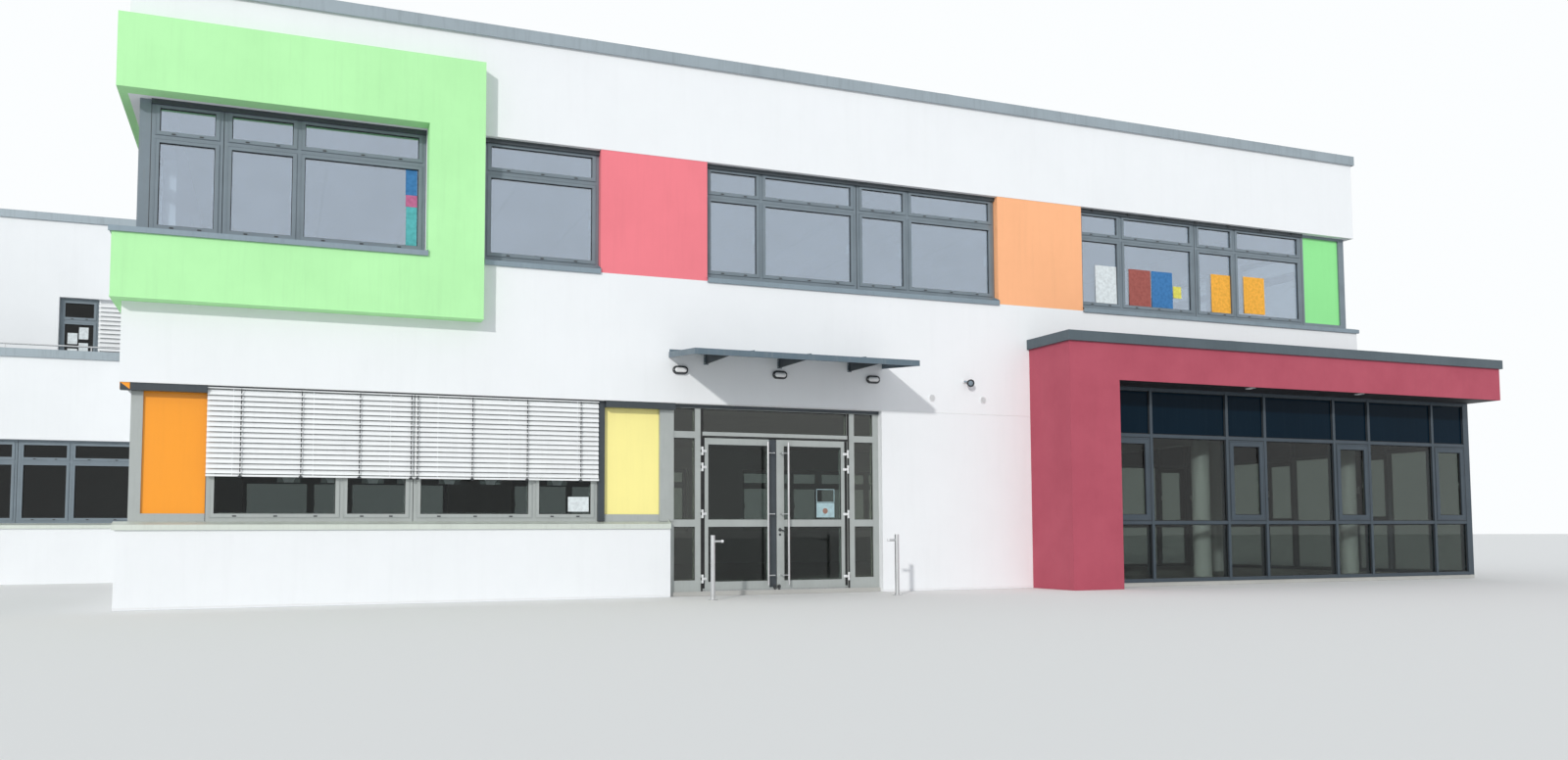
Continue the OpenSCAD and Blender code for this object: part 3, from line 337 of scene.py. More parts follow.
def build_effects():
    """The shader groups that the finishes share."""
    pale = (0.8, 0.8, 0.8, 1)

    group, start, end = effect(
        "Cloudy tone", [("Tone", pale), ("Shade", (0.6, 0.6, 0.6, 1)), ("Size", 0.6),
                        ("Amount", 0.5)], ["Colour"])
    put = start.outputs
    factor = spread(group, noise(group, put["Size"]), 0.38, 0.68, 0.0, put["Amount"])
    feed(group, blend_colours(group, factor, put["Tone"], put["Shade"]), end.inputs[0])

    group, start, end = effect(
        "Rain marks", [("Tone", pale), ("Grime", (0.4, 0.4, 0.38, 1)), ("Width", 0.1),
                       ("Amount", 0.2)], ["Colour"])
    put = start.outputs
    cloud = noise(group, put["Width"], 4.0, 0.7, (1.0, 1.0, 0.06))
    factor = spread(group, cloud, 0.5, 0.8, 0.0, put["Amount"])
    feed(group, blend_colours(group, factor, put["Tone"], put["Grime"]), end.inputs[0])

    group, start, end = effect(
        "Ledge dust", [("Tone", pale), ("Dust", (0.5, 0.48, 0.44, 1)), ("Size", 0.15),
                       ("Amount", 0.5)], ["Colour"])
    put = start.outputs
    cloud = spread(group, noise(group, put["Size"]), 0.3, 0.7)
    up = spread(group, along(group, "Z", "NewGeometry", "Normal"), 0.55, 0.95, 0.0, put["Amount"])
    factor = calc(group, "MULTIPLY", cloud, up)
    feed(group, blend_colours(group, factor, put["Tone"], put["Dust"]), end.inputs[0])

    group, start, end = effect(
        "Fine tooth", [("Grain", 0.01), ("Patch", 0.4), ("Smooth", 0.4), ("Rough", 0.6)],
        ["Height", "Roughness"])
    put = start.outputs
    feed(group, noise(group, put["Grain"], 6.0, 0.62), end.inputs["Height"])
    patch = spread(group, noise(group, put["Patch"], 4.0), 0.35, 0.65, put["Smooth"], put["Rough"])
    feed(group, patch, end.inputs["Roughness"])

    group, start, end = effect(
        "Drawn lines", [("Grain", 0.002), ("Smooth", 0.2), ("Rough", 0.4)],
        ["Height", "Roughness"])
    put = start.outputs
    lines = noise(group, put["Grain"], 3.0, 0.5, (1.0, 1.0, 0.02))
    feed(group, lines, end.inputs["Height"])
    feed(group, spread(group, lines, 0.3, 0.7, put["Smooth"], put["Rough"]),
         end.inputs["Roughness"])

    group, start, end = effect("Sheet seams", [("Width", 1.5), ("Seam", 0.03)], ["Mask"])
    put = start.outputs
    half = calc(group, "MULTIPLY", put["Width"], 0.5)
    off = calc(group, "PINGPONG", along(group, "X"), half)
    feed(group, spread(group, off, 0.0, put["Seam"], 1.0, 0.0), end.inputs["Mask"])


def new_finish(name):
    """A new material's node tree and its shader."""
    finish = bpy.data.materials.new(name)
    finish.use_nodes = True
    return finish.node_tree, shader_of(name)


def shader_of(name):
    return bpy.data.materials[name].node_tree.nodes["Principled BSDF"]


def placed(tree, name, **values):
    """A shared effect placed in a finish, with its own values."""
    made = tree.nodes.new("ShaderNodeGroup")
    made.node_tree = bpy.data.node_groups[name]
    for key, value in values.items():
        feed(tree, (*value, 1) if isinstance(value, tuple) else value, made.inputs[key])
    return made


def tint(colour, amount):
    """A colour made darker."""
    return tuple(c * amount for c in colour)


def emboss(tree, shader, height, strength, depth):
    """Feeds a height into a finish's bump."""
    bump = node(tree, "Bump")
    bump.inputs["Strength"].default_value = strength
    bump.inputs["Distance"].default_value = depth
    feed(tree, height, bump.inputs["Height"])
    feed(tree, bump.outputs[0], shader.inputs["Normal"])


def painted(name, colour, shade=0.86, size=0.7, amount=0.6, grime=(0.36, 0.36, 0.33), marks=0.12,
            width=0.09, dust=0.25, grain=0.01, relief=0.15, depth=0.004, rough=(0.45, 0.65),
            metal=0.0, coat=0.0, lines=False):
    """A coloured finish: cloudy tone, rain marks, dust on ledges, and a fine surface tooth."""
    tree, shader = new_finish(name)
    colour = tuple(colour)
    made = placed(tree, "Cloudy tone", Tone=colour, Shade=tint(colour, shade), Size=size,
                  Amount=amount)
    made = placed(tree, "Rain marks", Tone=made.outputs[0], Grime=grime, Width=width, Amount=marks)
    made = placed(tree, "Ledge dust", Tone=made.outputs[0], Dust=(0.46, 0.44, 0.4), Size=0.2,
                  Amount=dust)
    feed(tree, made.outputs[0], shader.inputs["Base Color"])
    values = dict(Grain=grain, Smooth=rough[0], Rough=rough[1])
    if lines:
        tooth = placed(tree, "Drawn lines", **values)
    else:
        tooth = placed(tree, "Fine tooth", Patch=size, **values)
    feed(tree, tooth.outputs["Roughness"], shader.inputs["Roughness"])
    emboss(tree, shader, tooth.outputs["Height"], relief, depth)
    shader.inputs["Metallic"].default_value = metal
    shader.inputs["Coat Weight"].default_value = coat
    shader.inputs["Coat Roughness"].default_value = 0.12


def darken(tree, mask, by):
    """Multiplies a finish's colour where the mask is 1."""
    base = tree.nodes["Principled BSDF"].inputs["Base Color"]
    feed(tree, blend_colours(tree, mask, base.links[0].from_socket, by, "MULTIPLY"), base)


def glazing(name, colour, ior, ripple=0.08, rough=0.0, metal=0.0):
    """Clear glass that lets the lamps through."""
    tree, shader = new_finish(name)
    cloudy = placed(tree, "Cloudy tone", Tone=colour, Shade=tint(colour, 0.94), Size=0.9,
                    Amount=0.6)
    feed(tree, cloudy.outputs[0], shader.inputs["Base Color"])
    for key, value in (("Roughness", rough), ("IOR", ior), ("Transmission Weight", 1.0),
                       ("Metallic", metal)):
        shader.inputs[key].default_value = value
    wave = placed(tree, "Fine tooth", Grain=1.3, Patch=1.0, Smooth=0.0, Rough=0.0)
    emboss(tree, shader, wave.outputs["Height"], ripple, 0.004)
    open_way = node(tree, "BsdfTransparent")
    open_way.inputs[0].default_value = (0.8, 0.84, 0.85, 1)
    mix = node(tree, "MixShader")
    feed(tree, node(tree, "LightPath").outputs["Is Shadow Ray"], mix.inputs[0])
    feed(tree, shader.outputs[0], mix.inputs[1])
    feed(tree, open_way.outputs[0], mix.inputs[2])
    feed(tree, mix.outputs[0], tree.nodes["Material Output"].inputs["Surface"])


# ---------------------------------------------------------------- places of the windows


def places():
    """Window units as the part has them: [matrix, widths, height, transom drop, what]."""
    module, narrow, drop = 2.425, 0.87, 0.455
    pair, back = [narrow, module - narrow], [module - narrow, narrow]
    high, low = (4.55, 1.64), (1.05, 1.65)
    first, corner, single, middle, right, below = 0.25, 3.48, 4.23, 7.35, 13.805, 0.95

    def put(x, y, turn, level, widths, what):
        where = Matrix.Translation((x, y, level[0])) @ Matrix.Rotation(radians(turn), 4, "Z")
        return [where, widths, level[1], drop, what]
    units = [put(LEFT + u, FRAMES, 0, high, widths, "front") for u, widths in (
        (first, [corner - module - first]), (corner - module, pair), (single, [1.57]),
        (middle, pair), (middle + module, pair), (right, pair), (right + module, pair))]
    units += [put(LEFT + u, FRAMES, 0, low, back, "low") for u in (below, below + module)]
    left_y = [first + module, first + 2 * module]
    left_x, right_x, rear_y = LEFT + RECESS, RIGHT - RECESS, REAR - RECESS
    units += [put(left_x, FRONT + v, -90, low, pair, "side") for v in left_y]
    units.append(put(left_x, FRONT + left_y[0], -90, high, pair, "side"))
    second = first + 3 * module + 0.9
    units += [put(left_x, FRONT + second, -90, level, pair, "side") for level in (low, high)]
    units += [put(right_x, FRONT + first + i * module, 90, high, pair, "side") for i in (0, 1)]
    units += [put(right_x, FRONT + 7.7 + i * module, 90, level, pair, "side")
              for level in (low, high) for i in (0, 1)]
    end = 1.0
    gap = (RIGHT - LEFT - 2 * end - 6 * module) / 2
    units += [put(LEFT + end + group * (2 * module + gap) + i * module, rear_y, 180, level, pair,
                  "side") for level in (low, high) for group in (0, 1, 2) for i in (1, 2)]
    units += [[Matrix.Translation((LEFT - 0.29 - i * module, WING_FRONT + RECESS, 1.14)), pair,
               1.56, 0.4, "wing"] for i in (1, 2)]
    units.append([Matrix.Translation((-12.25, WING_UPPER + RECESS, 3.56)), [0.7], 2.15, drop,
                  "wing"])
    return units


def lights(widths, height, drop, bar=0.046, sash=0.048):
    """The panes of a unit: [left, bottom, width, height], as the part's source places them."""
    found, left = [], 0.0
    middle = height - drop
    for i, width in enumerate(widths):
        a = bar + sash if i == 0 else left + bar / 2 + sash
        b = left + width - (bar + sash if i == len(widths) - 1 else bar / 2 + sash)
        frames = bar / 2 + 2 * sash + bar
        found.append((a, bar + sash, b - a, middle - frames))
        found.append((a, middle + bar / 2 + sash, b - a, height - middle - frames))
        left += width
    return found


# ---------------------------------------------------------------- operators


class SCHOOL_OT_finishes(bpy.types.Operator):
    """Makes the finishes and gives each part of the frame its own"""

    bl_idname = "school.finishes"
    bl_label = "Finishes"

    wears = {
        "cast concrete": "ground_slab upper_floor",
        "roof sheet": "main_roof wing_roofs",
        "coping metal": "roof_coping wing_coping",
        "dark coping metal": "pavilion_coping",
        "white render": "front_wall_low front_wall_pier front_wall_band front_parapet upper_pier "
                        "left_wall right_wall rear_wall wing_walls",
        "red board": "red_panel",
        "orange board": "orange_panel",
        "green render": "green_box",
        "frame coating": "front_window_frames side_window_frames",
        # The pavilion's frames take a darker copy of the frame colour, which is painted shade
        "shaded frame coating": "pavilion_frames",
        # The entrance's frames take a lighter copy of the frame colour, which is painted light
        "sunlit frame coating": "low_window_frames entrance_frame door_left door_right",
        "rail coating": "blind_rails canopy_brackets",
        "sky glass": "front_glass",
        "room glass": "low_glass",
        "far glass": "side_glass",
        "side light glass": "entrance_glass",
        "door glass": "door_left_glass door_right_glass",
        "hall glass": "pavilion_glass",
        "yellow sheet": "yellow_panel",
        "deep orange sheet": "low_orange_panel",
        "leaf green sheet": "green_panel",
        "sill metal": "window_sills",
        "slat coating": "blind_left blind_right wing_louvre",
        "brushed steel": "door_left_pull door_right_pull door_stops wing_rail",
        "canopy coating": "canopy_plate",
        "dark casing": "wall_lamps",
        "white coating": "wall_vents",
        "pavilion render": "pavilion_pier pavilion_roof",
        "enamelled glass": "pavilion_panels",
        "column paint": "round_columns",
    }

    def renders(self, c):
        """Rendered walls, and boards of the same tooth."""
        painted("white render", c.walls, shade=0.96, size=1.1, marks=0.06, width=0.14, dust=0.1,
                grime=(0.52, 0.53, 0.52), grain=0.06, relief=0.35, rough=(0.75, 0.92))
        painted("green render", c.green, shade=0.92, size=0.9, marks=0.10, dust=0.1,
                grime=(0.22, 0.42, 0.2), grain=0.05, relief=0.3, depth=0.003, rough=(0.7, 0.88))
        painted("pavilion render", c.pavilion, shade=0.84, size=0.8, marks=0.2, dust=0.1,
                grime=(0.3, 0.06, 0.08), grain=0.05, relief=0.35, depth=0.003, rough=(0.66, 0.85))
        for name, colour in (("red board", c.red), ("orange board", c.orange)):
            painted(name, colour, shade=0.93, size=0.8, marks=0.1, grime=tint(colour, 0.6),
                    grain=0.04, relief=0.2, depth=0.002, rough=(0.5, 0.66))
        painted("cast concrete", (0.44, 0.44, 0.42), shade=0.82, size=0.9, marks=0.1, dust=0.2,
                grain=0.05, relief=0.3, depth=0.003, rough=(0.6, 0.8))
        painted("roof sheet", (0.24, 0.25, 0.26), shade=0.75, size=1.6, marks=0.0, dust=0.5,
                grain=0.03, relief=0.3, depth=0.003, rough=(0.7, 0.9))
        roof = bpy.data.materials["roof sheet"].node_tree
        seams = placed(roof, "Sheet seams", Width=1.5, Seam=0.035)
        darken(roof, seams.outputs["Mask"], (0.62, 0.62, 0.62, 1))

    def coated_metals(self, c):
        """Sheets, frames, copings and sills."""
        for name, colour in (("yellow sheet", c.yellow), ("deep orange sheet", c.deep_orange),
                             ("leaf green sheet", c.leaf_green)):
            painted(name, colour, shade=0.95, size=0.9, marks=0.08, grime=tint(colour, 0.6),
                    grain=0.6, relief=0.06, rough=(0.3, 0.42), coat=0.25)
        light_grime, dark_grime, even = (0.2, 0.21, 0.2), (0.12, 0.13, 0.13), (0.3, 0.42)
        # The entrance's frames take a lighter copy of the frame colour, painted light; the
        # pavilion's frames take a darker copy, painted shade
        for name, colour, shade, grime, marks, rough in (
                ("frame coating", c.frames, 0.8, light_grime, 0.2, even),
                ("rail coating", c.rails, 0.8, dark_grime, 0.15, (0.34, 0.46)),
                ("sunlit frame coating", c.sunlit_frames, 0.86, light_grime, 0.15, even),
                ("shaded frame coating", c.shaded_hall_frames, 0.8, dark_grime, 0.15, even)):
            painted(name, colour, shade=shade, size=0.35, marks=marks, width=0.03, grime=grime,
                    dust=0.4, grain=0.003, relief=0.1, depth=0.0006, rough=rough, metal=0.2)
        painted("dark coping metal", (0.09, 0.12, 0.14), shade=0.82, size=0.8, marks=0.2,
                width=0.06, grime=(0.05, 0.06, 0.065), dust=0.4, grain=0.5, relief=0.12,
                rough=(0.34, 0.5), metal=0.3)
        painted("coping metal", c.coping, shade=0.82, size=0.8, marks=0.3, width=0.06,
                grime=(0.14, 0.16, 0.17), dust=0.5, grain=0.5, relief=0.12, rough=(0.32, 0.48),
                metal=0.5)
        painted("sill metal", (0.66, 0.71, 0.65), shade=0.85, size=0.5, marks=0.25, width=0.04,
                dust=0.4, grain=0.3, relief=0.08, depth=0.002, rough=(0.34, 0.5), metal=0.4)
        sills = bpy.data.materials["sill metal"].node_tree
        upper_storey = spread(sills, along(sills, "Z"), 3.0, 3.1)
        darken(sills, upper_storey, (0.38, 0.45, 0.57, 1))
        painted("slat coating", (0.87, 0.89, 0.90), shade=0.9, size=0.3, width=0.05, dust=0.35,
                grain=0.02, relief=0.05, depth=0.001, rough=(0.32, 0.48), metal=0.1)
        painted("canopy coating", (0.12, 0.17, 0.21), size=0.6, marks=0.25, width=0.05,
                dust=0.45, grain=0.2, relief=0.08, depth=0.002, rough=(0.35, 0.5), metal=0.35)
        painted("brushed steel", (0.62, 0.63, 0.64), shade=0.9, size=0.2, marks=0.08, dust=0.2,
                grain=0.004, relief=0.12, depth=0.0004, rough=(0.22, 0.38), metal=1.0, lines=True)

    def small_things(self):
        """Casings, linings, rubber, columns and paper."""
        painted("white coating", (0.78, 0.79, 0.8), shade=0.93, size=0.2, marks=0.08, dust=0.3,
                relief=0.08, depth=0.0006, rough=(0.3, 0.42))
        painted("dark casing", (0.035, 0.04, 0.045), shade=0.8, size=0.1, marks=0.1, dust=0.4,
                grain=0.006, depth=0.0008, rough=(0.35, 0.5))
        painted("dark lining", (0.016, 0.016, 0.02), shade=0.8, size=0.6, marks=0.1, dust=0.2,
                grain=0.02, relief=0.1, depth=0.001, rough=(0.5, 0.7))
        painted("rubber seal", (0.012, 0.012, 0.013), shade=0.7, size=0.1, marks=0.1, dust=0.5,
                grain=0.006, relief=0.2, depth=0.0008, rough=(0.6, 0.8))
        painted("column paint", (0.66, 0.68, 0.67), shade=0.92, size=0.6, marks=0.15, grain=0.02,
                relief=0.1, depth=0.001, rough=(0.45, 0.6))
        for tone, colour in (("white", (0.74, 0.8, 0.82)), ("red", (0.36, 0.095, 0.08)),
                             ("blue", (0.04, 0.19, 0.45)), ("orange", (0.93, 0.45, 0.05)),
                             ("lemon", (0.75, 0.7, 0.12)), ("tan", (0.30, 0.17, 0.13)),
                             ("pale", (0.40, 0.56, 0.60)), ("pink", (0.55, 0.14, 0.30)),
                             ("sea green", (0.10, 0.46, 0.50))):
            painted("paper " + tone, colour, shade=0.72, size=0.05, amount=0.8, marks=0.0,
                    dust=0.0, grain=0.02, relief=0.3, depth=0.001, rough=(0.7, 0.85))

    def panes(self, c):
        """Enamelled and clear glass; the clear glass copies carry painted reflection and painted
        shade in their tints.
        """
        painted("enamelled glass", c.spandrels, shade=0.8, size=1.2, width=0.08, dust=0.2,
                grime=(0.02, 0.035, 0.045), grain=1.2, relief=0.05, rough=(0.08, 0.16))
        shader_of("enamelled glass").inputs["Specular IOR Level"].default_value = 0.06
        # Painted reflection: the sky glass's blue tint on a strong metallic reflection stands for
        # the sky it mirrors. Painted shade: the other clear glass copies are darker by place,
        # partly the glass's own tint, partly the shade of the dim rooms seen through them
        glazing("sky glass", (0.70, 0.79, 0.90), 1.70, metal=0.35)
        glazing("room glass", (0.34, 0.38, 0.37), 1.30)
        glazing("side light glass", (0.36, 0.40, 0.33), 1.60)
        glazing("door glass", (0.34, 0.40, 0.37), 1.42)
        glazing("far glass", (0.15, 0.17, 0.165), 1.38)
        glazing("hall glass", (0.25, 0.28, 0.26), 1.38)

    def execute(self, context):
        build_effects()
        c = colours()
        self.renders(c)
        self.coated_metals(c)
        self.small_things()
        self.panes(c)
        for finish, names in self.wears.items():
            for name in names.split():
                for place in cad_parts[name].material_slots:
                    place.material = bpy.data.materials[finish]
        return {"FINISHED"}


class SCHOOL_OT_window_seals(bpy.types.Operator):
    """Adds the gaskets, glazing beads, drain caps, handles and head clips of the windows"""

    bl_idname = "school.window_seals"
    bl_label = "Window seals"

    clips = (4.187, 4.916, 5.63, 6.339, 7.053, 7.793, 8.5)

    def pane(self, form, x, z, w, h):
        """Gasket, bead, sash seal, handle and drain caps of one pane."""
        s = sizes()
        lap = 0.047
        form.loop((x, z), (x + w, z + h), s.gasket, 0.017, 0.0245, 0)
        form.loop((x, z), (x + w, z + h), 0.014, 0.0535, 0.072, 1, 0.006)
        form.loop((x - lap, z - lap), (x + w + lap, z + h + lap), 0.007, -0.0145, -0.009, 1)
        if h > 0.5:
            grip, foot = x + w - 0.013, z + h * 0.45
            form.bar((grip - 0.015, 0.082, foot), (grip + 0.015, 0.086, foot + 0.14), 1)
            form.tube([(grip, 0.088, foot + 0.11), (grip, 0.125, foot + 0.11),
                       (grip, 0.130, foot + 0.10), (grip, 0.130, foot)], 0.009, 8, 1)
        caps = max(2, round(w / 0.5))
        for i in range(caps):
            at = x + w * (i + 0.5) / caps
            form.bar((at - s.drain_cap / 2, -0.0165, z - 0.037),
                     (at + s.drain_cap / 2, -0.009, z - 0.021), 2)

    def execute(self, context):
        forms = {}
        for place, widths, height, drop, what in places():
            form = forms.setdefault(what, Form())
            form.place = place
            for light in lights(widths, height, drop):
                self.pane(form, *light)
            for end in (0.0, sum(widths)):
                form.bar((end - 0.003, -0.003, 0.0), (end + 0.003, 0.001, height), 2)
        for what, form in forms.items():
            # The low windows' seals take the entrance's lighter frame copy, which is painted light
            metal = "sunlit frame coating" if what == "low" else "frame coating"
            piece(f"{what}_window_seals", form, ["rubber seal", metal, "dark casing"],
                  smooth=30)
        form = Form()
        for x in self.clips:
            form.bar((x - 0.026, -8.138, 6.148), (x + 0.026, -8.1245, 6.188))
            form.bar((x - 0.014, -8.144, 6.156), (x + 0.014, -8.1375, 6.176))
        piece("head_rail_clips", form, ["dark casing"], bevel=0.002)
        return {"FINISHED"}


class SCHOOL_OT_sill_ends(bpy.types.Operator):
    """Adds the upstands at the ends of the sills"""

    bl_idname = "school.sill_ends"
    bl_label = "Sill ends"

    def execute(self, context):
        form = Form()
        upper, lower, box_out = 4.465, 0.965, FRONT - BOX_FRONT
        for ends, ahead, z in (((-5.67, -4.105, -2.55, 2.295, 3.905), 0.0, upper),
                               ((-6.425,), box_out, upper), ((-3.098,), 0.0, lower)):
            nose = -8.235 - ahead
            for x in ends:
                form.prism([(nose, z + 0.02), (nose, z + 0.055), (-8.1, z + 0.115),
                            (-8.081, z + 0.115), (-8.081, z + 0.07)], 0, x, x + 0.005)
        piece("sill_ends", form, ["sill metal"])
        return {"FINISHED"}


class SCHOOL_OT_coping_joints(bpy.types.Operator):
    """Adds the joint covers and drip folds of the copings"""

    bl_idname = "school.coping_joints"
    bl_label = "Coping joints"

    def cover(self, form, at, way, wall, low, high, kind):
        """A joint cover: a strip bent over the coping at a place along a wall."""
        out, thick, half = 0.0435, 0.0015, 0.075
        outline = [(-out, low), (-out, high + thick), (wall, high + thick), (wall, high),
                   (thick - out, high), (thick - out, low)]
        form.place = Matrix.Translation(at) @ Matrix.Rotation(way, 4, "Z")
        form.prism(outline, 0, -half, half, kind)
        form.place = Matrix()

    def execute(self, context):
        step = sizes().splice_step
        form = Form()
        main = [(LEFT, FRONT), (RIGHT, FRONT), (RIGHT, REAR), (LEFT, REAR)]
        hall = [(HALL_LEFT, FRONT), (HALL_LEFT, HALL_FRONT), (HALL_RIGHT, HALL_FRONT),
                (HALL_RIGHT, HALL_REAR)]
        terrace = [(WING_LEFT, WING_FRONT), (LEFT, WING_FRONT)]
        upper = [(WING_LEFT, WING_UPPER), (LEFT, WING_UPPER)]
        rear = [(LEFT, REAR), (WING_LEFT, REAR)]
        for path, wall, low, high, kind in (
                (main + main[:1], WALL, 7.552, 7.710, 0), (hall, HALL_WALL, 3.775, 3.920, 1),
                (terrace, WALL, 4.247, 4.405, 0), (upper, WALL, 7.247, 7.405, 0),
                (rear, WALL, 7.247, 7.405, 0)):
            for a, b in zip(path, path[1:]):
                start, run = Vector((*a, 0)), Vector((b[0] - a[0], b[1] - a[1], 0))
                sheets = max(1, round(run.length / step))
                for i in range(1, sheets):
                    self.cover(form, start + run * i / sheets, atan2(run.y, run.x), wall, low,
                               high, kind)
        drip = mm(41.8, 2, 41.8, -10, 34, -14, 34, -11, 39.5, -8, 39.5, 2)
        form.sweep(drip, main, 7.5555, True, 0)
        form.sweep(drip, hall, 3.778, False, 1)
        piece("coping_joints", form, ["coping metal", "dark coping metal"],
              bevel=0.0008)
        return {"FINISHED"}


class SCHOOL_OT_wall_trims(bpy.types.Operator):
    """Adds the drip beads of the walls, the head strip's orange end and the louvre's lips"""

    bl_idname = "school.wall_trims"
    bl_label = "Wall trims"

    def execute(self, context):
        form = Form()
        bead = mm(0, 0, 5, 0, 5, 6, 0, 12)
        foot, low_head, up_head, box_foot = 0.02, 2.70, 6.19, 3.67
        for z, path in ((foot, [(LEFT, REAR), (LEFT, FRONT), (-3.093, FRONT)]),
                        (foot, [(0.209, FRONT), (HALL_LEFT, FRONT)]),
                        (foot, [(RIGHT, HALL_REAR), (RIGHT, REAR), (LEFT, REAR)]),
                        (low_head, [(LEFT, FRONT), (HALL_LEFT, FRONT)]),
                        (up_head, [(BOX_RIGHT, FRONT), (RIGHT, FRONT)])):
            form.sweep(bead, path, z)
        form.sweep(bead, [(BOX_LEFT, BOX_REAR), (BOX_LEFT, BOX_FRONT), (BOX_RIGHT, BOX_FRONT),
                          (BOX_RIGHT, FRONT)], box_foot, kind=1)
        piece("wall_trims", form, ["white coating", "green render"])
        form = Form()
        form.prism([(-9.8925, low_head), (-9.785, low_head), (-9.785, 2.618)], 1, -8.1925, -8.1895)
        form.bar((-9.8925, -8.19, 2.62), (-9.8898, -8.10, 2.6995))
        piece("corner_strip_end", form, ["deep orange sheet"])
        form = Form()
        first_blade, blade_step, blades = 3.96, 0.09, 19
        for i in range(blades):
            z = first_blade + i * blade_step
            form.prism([(3.6475, z - 0.019), (3.6490, z - 0.019), (3.6512, z + 0.004),
                        (3.6497, z + 0.004)], 0, -11.549, -10.201)
        piece("louvre_lips", form, ["slat coating"])
        return {"FINISHED"}


class SCHOOL_OT_blind_gear(bpy.types.Operator):
    """Adds the blinds' ladder cords, slat clips, head strips and end caps"""

    bl_idname = "school.blind_gear"
    bl_label = "Blind gear"

    cords = {"blind_left": (-8.57, -7.88, -7.192, -6.565),
             "blind_right": (-6.485, -5.794, -5.078, -4.355)}

    def execute(self, context):
        radius = sizes().cord / 2
        slat_step, slats, cap = 0.064, 16, 0.0265
        for name, cords in self.cords.items():
            low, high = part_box(name)
            y = (low.y + high.y) / 2
            foot, head = low.z + 0.01, high.z - 0.03
            form = Form()
            for x in cords:
                form.bar((x - 0.0065, y - 0.0405, foot), (x + 0.0065, y - 0.0385, head), 0)
                form.tube([(x, y + 0.036, head), (x, y + 0.036, foot)], radius, 6, 0)
                form.bar((x - 0.012, y - 0.030, low.z + 0.0005),
                         (x + 0.012, y + 0.030, low.z + 0.004), 1)
                form.bar((x - 0.021, y - 0.040, low.z - 0.013),
                         (x + 0.021, y - 0.026, low.z + 0.012), 0)
                for i in range(slats):
                    z = high.z - 0.038 - (i + 0.5) * slat_step
                    form.bar((x - 0.010, y - 0.0425, z - 0.036),
                             (x + 0.010, y - 0.034, z - 0.020), 1)
            form.bar((low.x, y - 0.0305, high.z - 0.019), (high.x, y - 0.0285, high.z - 0.001), 0)
            for a, b in ((low.x - 0.001, low.x), (high.x - 0.001, high.x + 0.002)):
                form.bar((a, y - cap, low.z - 0.0005), (b, y + cap, low.z + 0.0245), 1)
            piece(name + "_gear", form, ["dark casing", "white coating"])
        return {"FINISHED"}


class SCHOOL_OT_paper_sheets(bpy.types.Operator):
    """Adds plain sheets of coloured paper to the windows"""

    bl_idname = "school.paper_sheets"
    bl_label = "Paper sheets"

    # Piece, colour, left edge, lower edge, width and height
    sheets = (("paper_white", "white", 4.27, 4.64, 0.44, 0.64),
              ("paper_red", "red", 4.95, 4.65, 0.45, 0.62),
              ("paper_blue", "blue", 5.42, 4.65, 0.44, 0.62),
              ("paper_lemon", "lemon", 5.875, 4.84, 0.17, 0.20),
              ("paper_orange_a", "orange", 6.70, 4.65, 0.46, 0.67),
              ("paper_orange_b", "orange", 7.42, 4.68, 0.47, 0.65),
              ("paper_low", "white", -4.50, 1.18, 0.285, 0.20),
              ("paper_deep_blue", "blue", -6.672, 5.32, 0.145, 0.335),
              ("paper_pink", "pink", -6.668, 5.165, 0.143, 0.153),
              ("paper_sea_green", "sea green", -6.662, 4.65, 0.137, 0.513))
    wing_sheets = ((-12.104, 4.785, 0.176, 0.225), (-11.903, 4.89, 0.168, 0.244),
                   (-12.103, 4.505, 0.174, 0.186), (-11.903, 4.58, 0.166, 0.233))
    row = (-8.15, -7.64, -7.15, -6.72, -6.20, -5.67, -4.78)

    def curled(self, form, x, y, z, w, h, bend=-0.006):
        """A thin sheet that curls a little off the glass at its lower corners."""
        n, m, thick, points = 6, 8, 0.0012, []
        for side, j, i in product((-thick, 0.0), range(m + 1), range(n + 1)):
            a, b = i / n, j / m
            off = bend * (1 - b) ** 2 * (2 * abs(a - 0.5)) ** 2 + side
            points.append((x + w * a, y + off, z + h * b))
        row, back = n + 1, (n + 1) * (m + 1)
        faces = []
        for j, i in product(range(m), range(n)):
            k = j * row + i
            face = (k, k + 1, k + row + 1, k + row)
            faces += [face, tuple(back + v for v in reversed(face))]
        rim = [*range(row), *(j * row + n for j in range(1, m + 1)),
               *(m * row + i for i in range(n - 1, -1, -1)),
               *(j * row for j in range(m - 1, 0, -1))]
        faces += [(a, b, back + b, back + a) for a, b in zip(rim, rim[1:] + rim[:1])]
        form.add(points, faces)

    def execute(self, context):
        glass, behind, wing_glass = -8.0557, -8.0265, 3.7443
        for name, tone, x, z, w, h in self.sheets:
            form = Form()
            self.curled(form, x, glass, z, w, h)
            piece(name, form, ["paper " + tone])
        form = Form()
        for x in self.row:
            self.curled(form, x, behind, 1.535, 0.27, 0.19, 0.004)
        for x, z, w, h in self.wing_sheets:
            self.curled(form, x, wing_glass, z, w, h)
        piece("paper_row", form, ["paper white"])
        return {"FINISHED"}


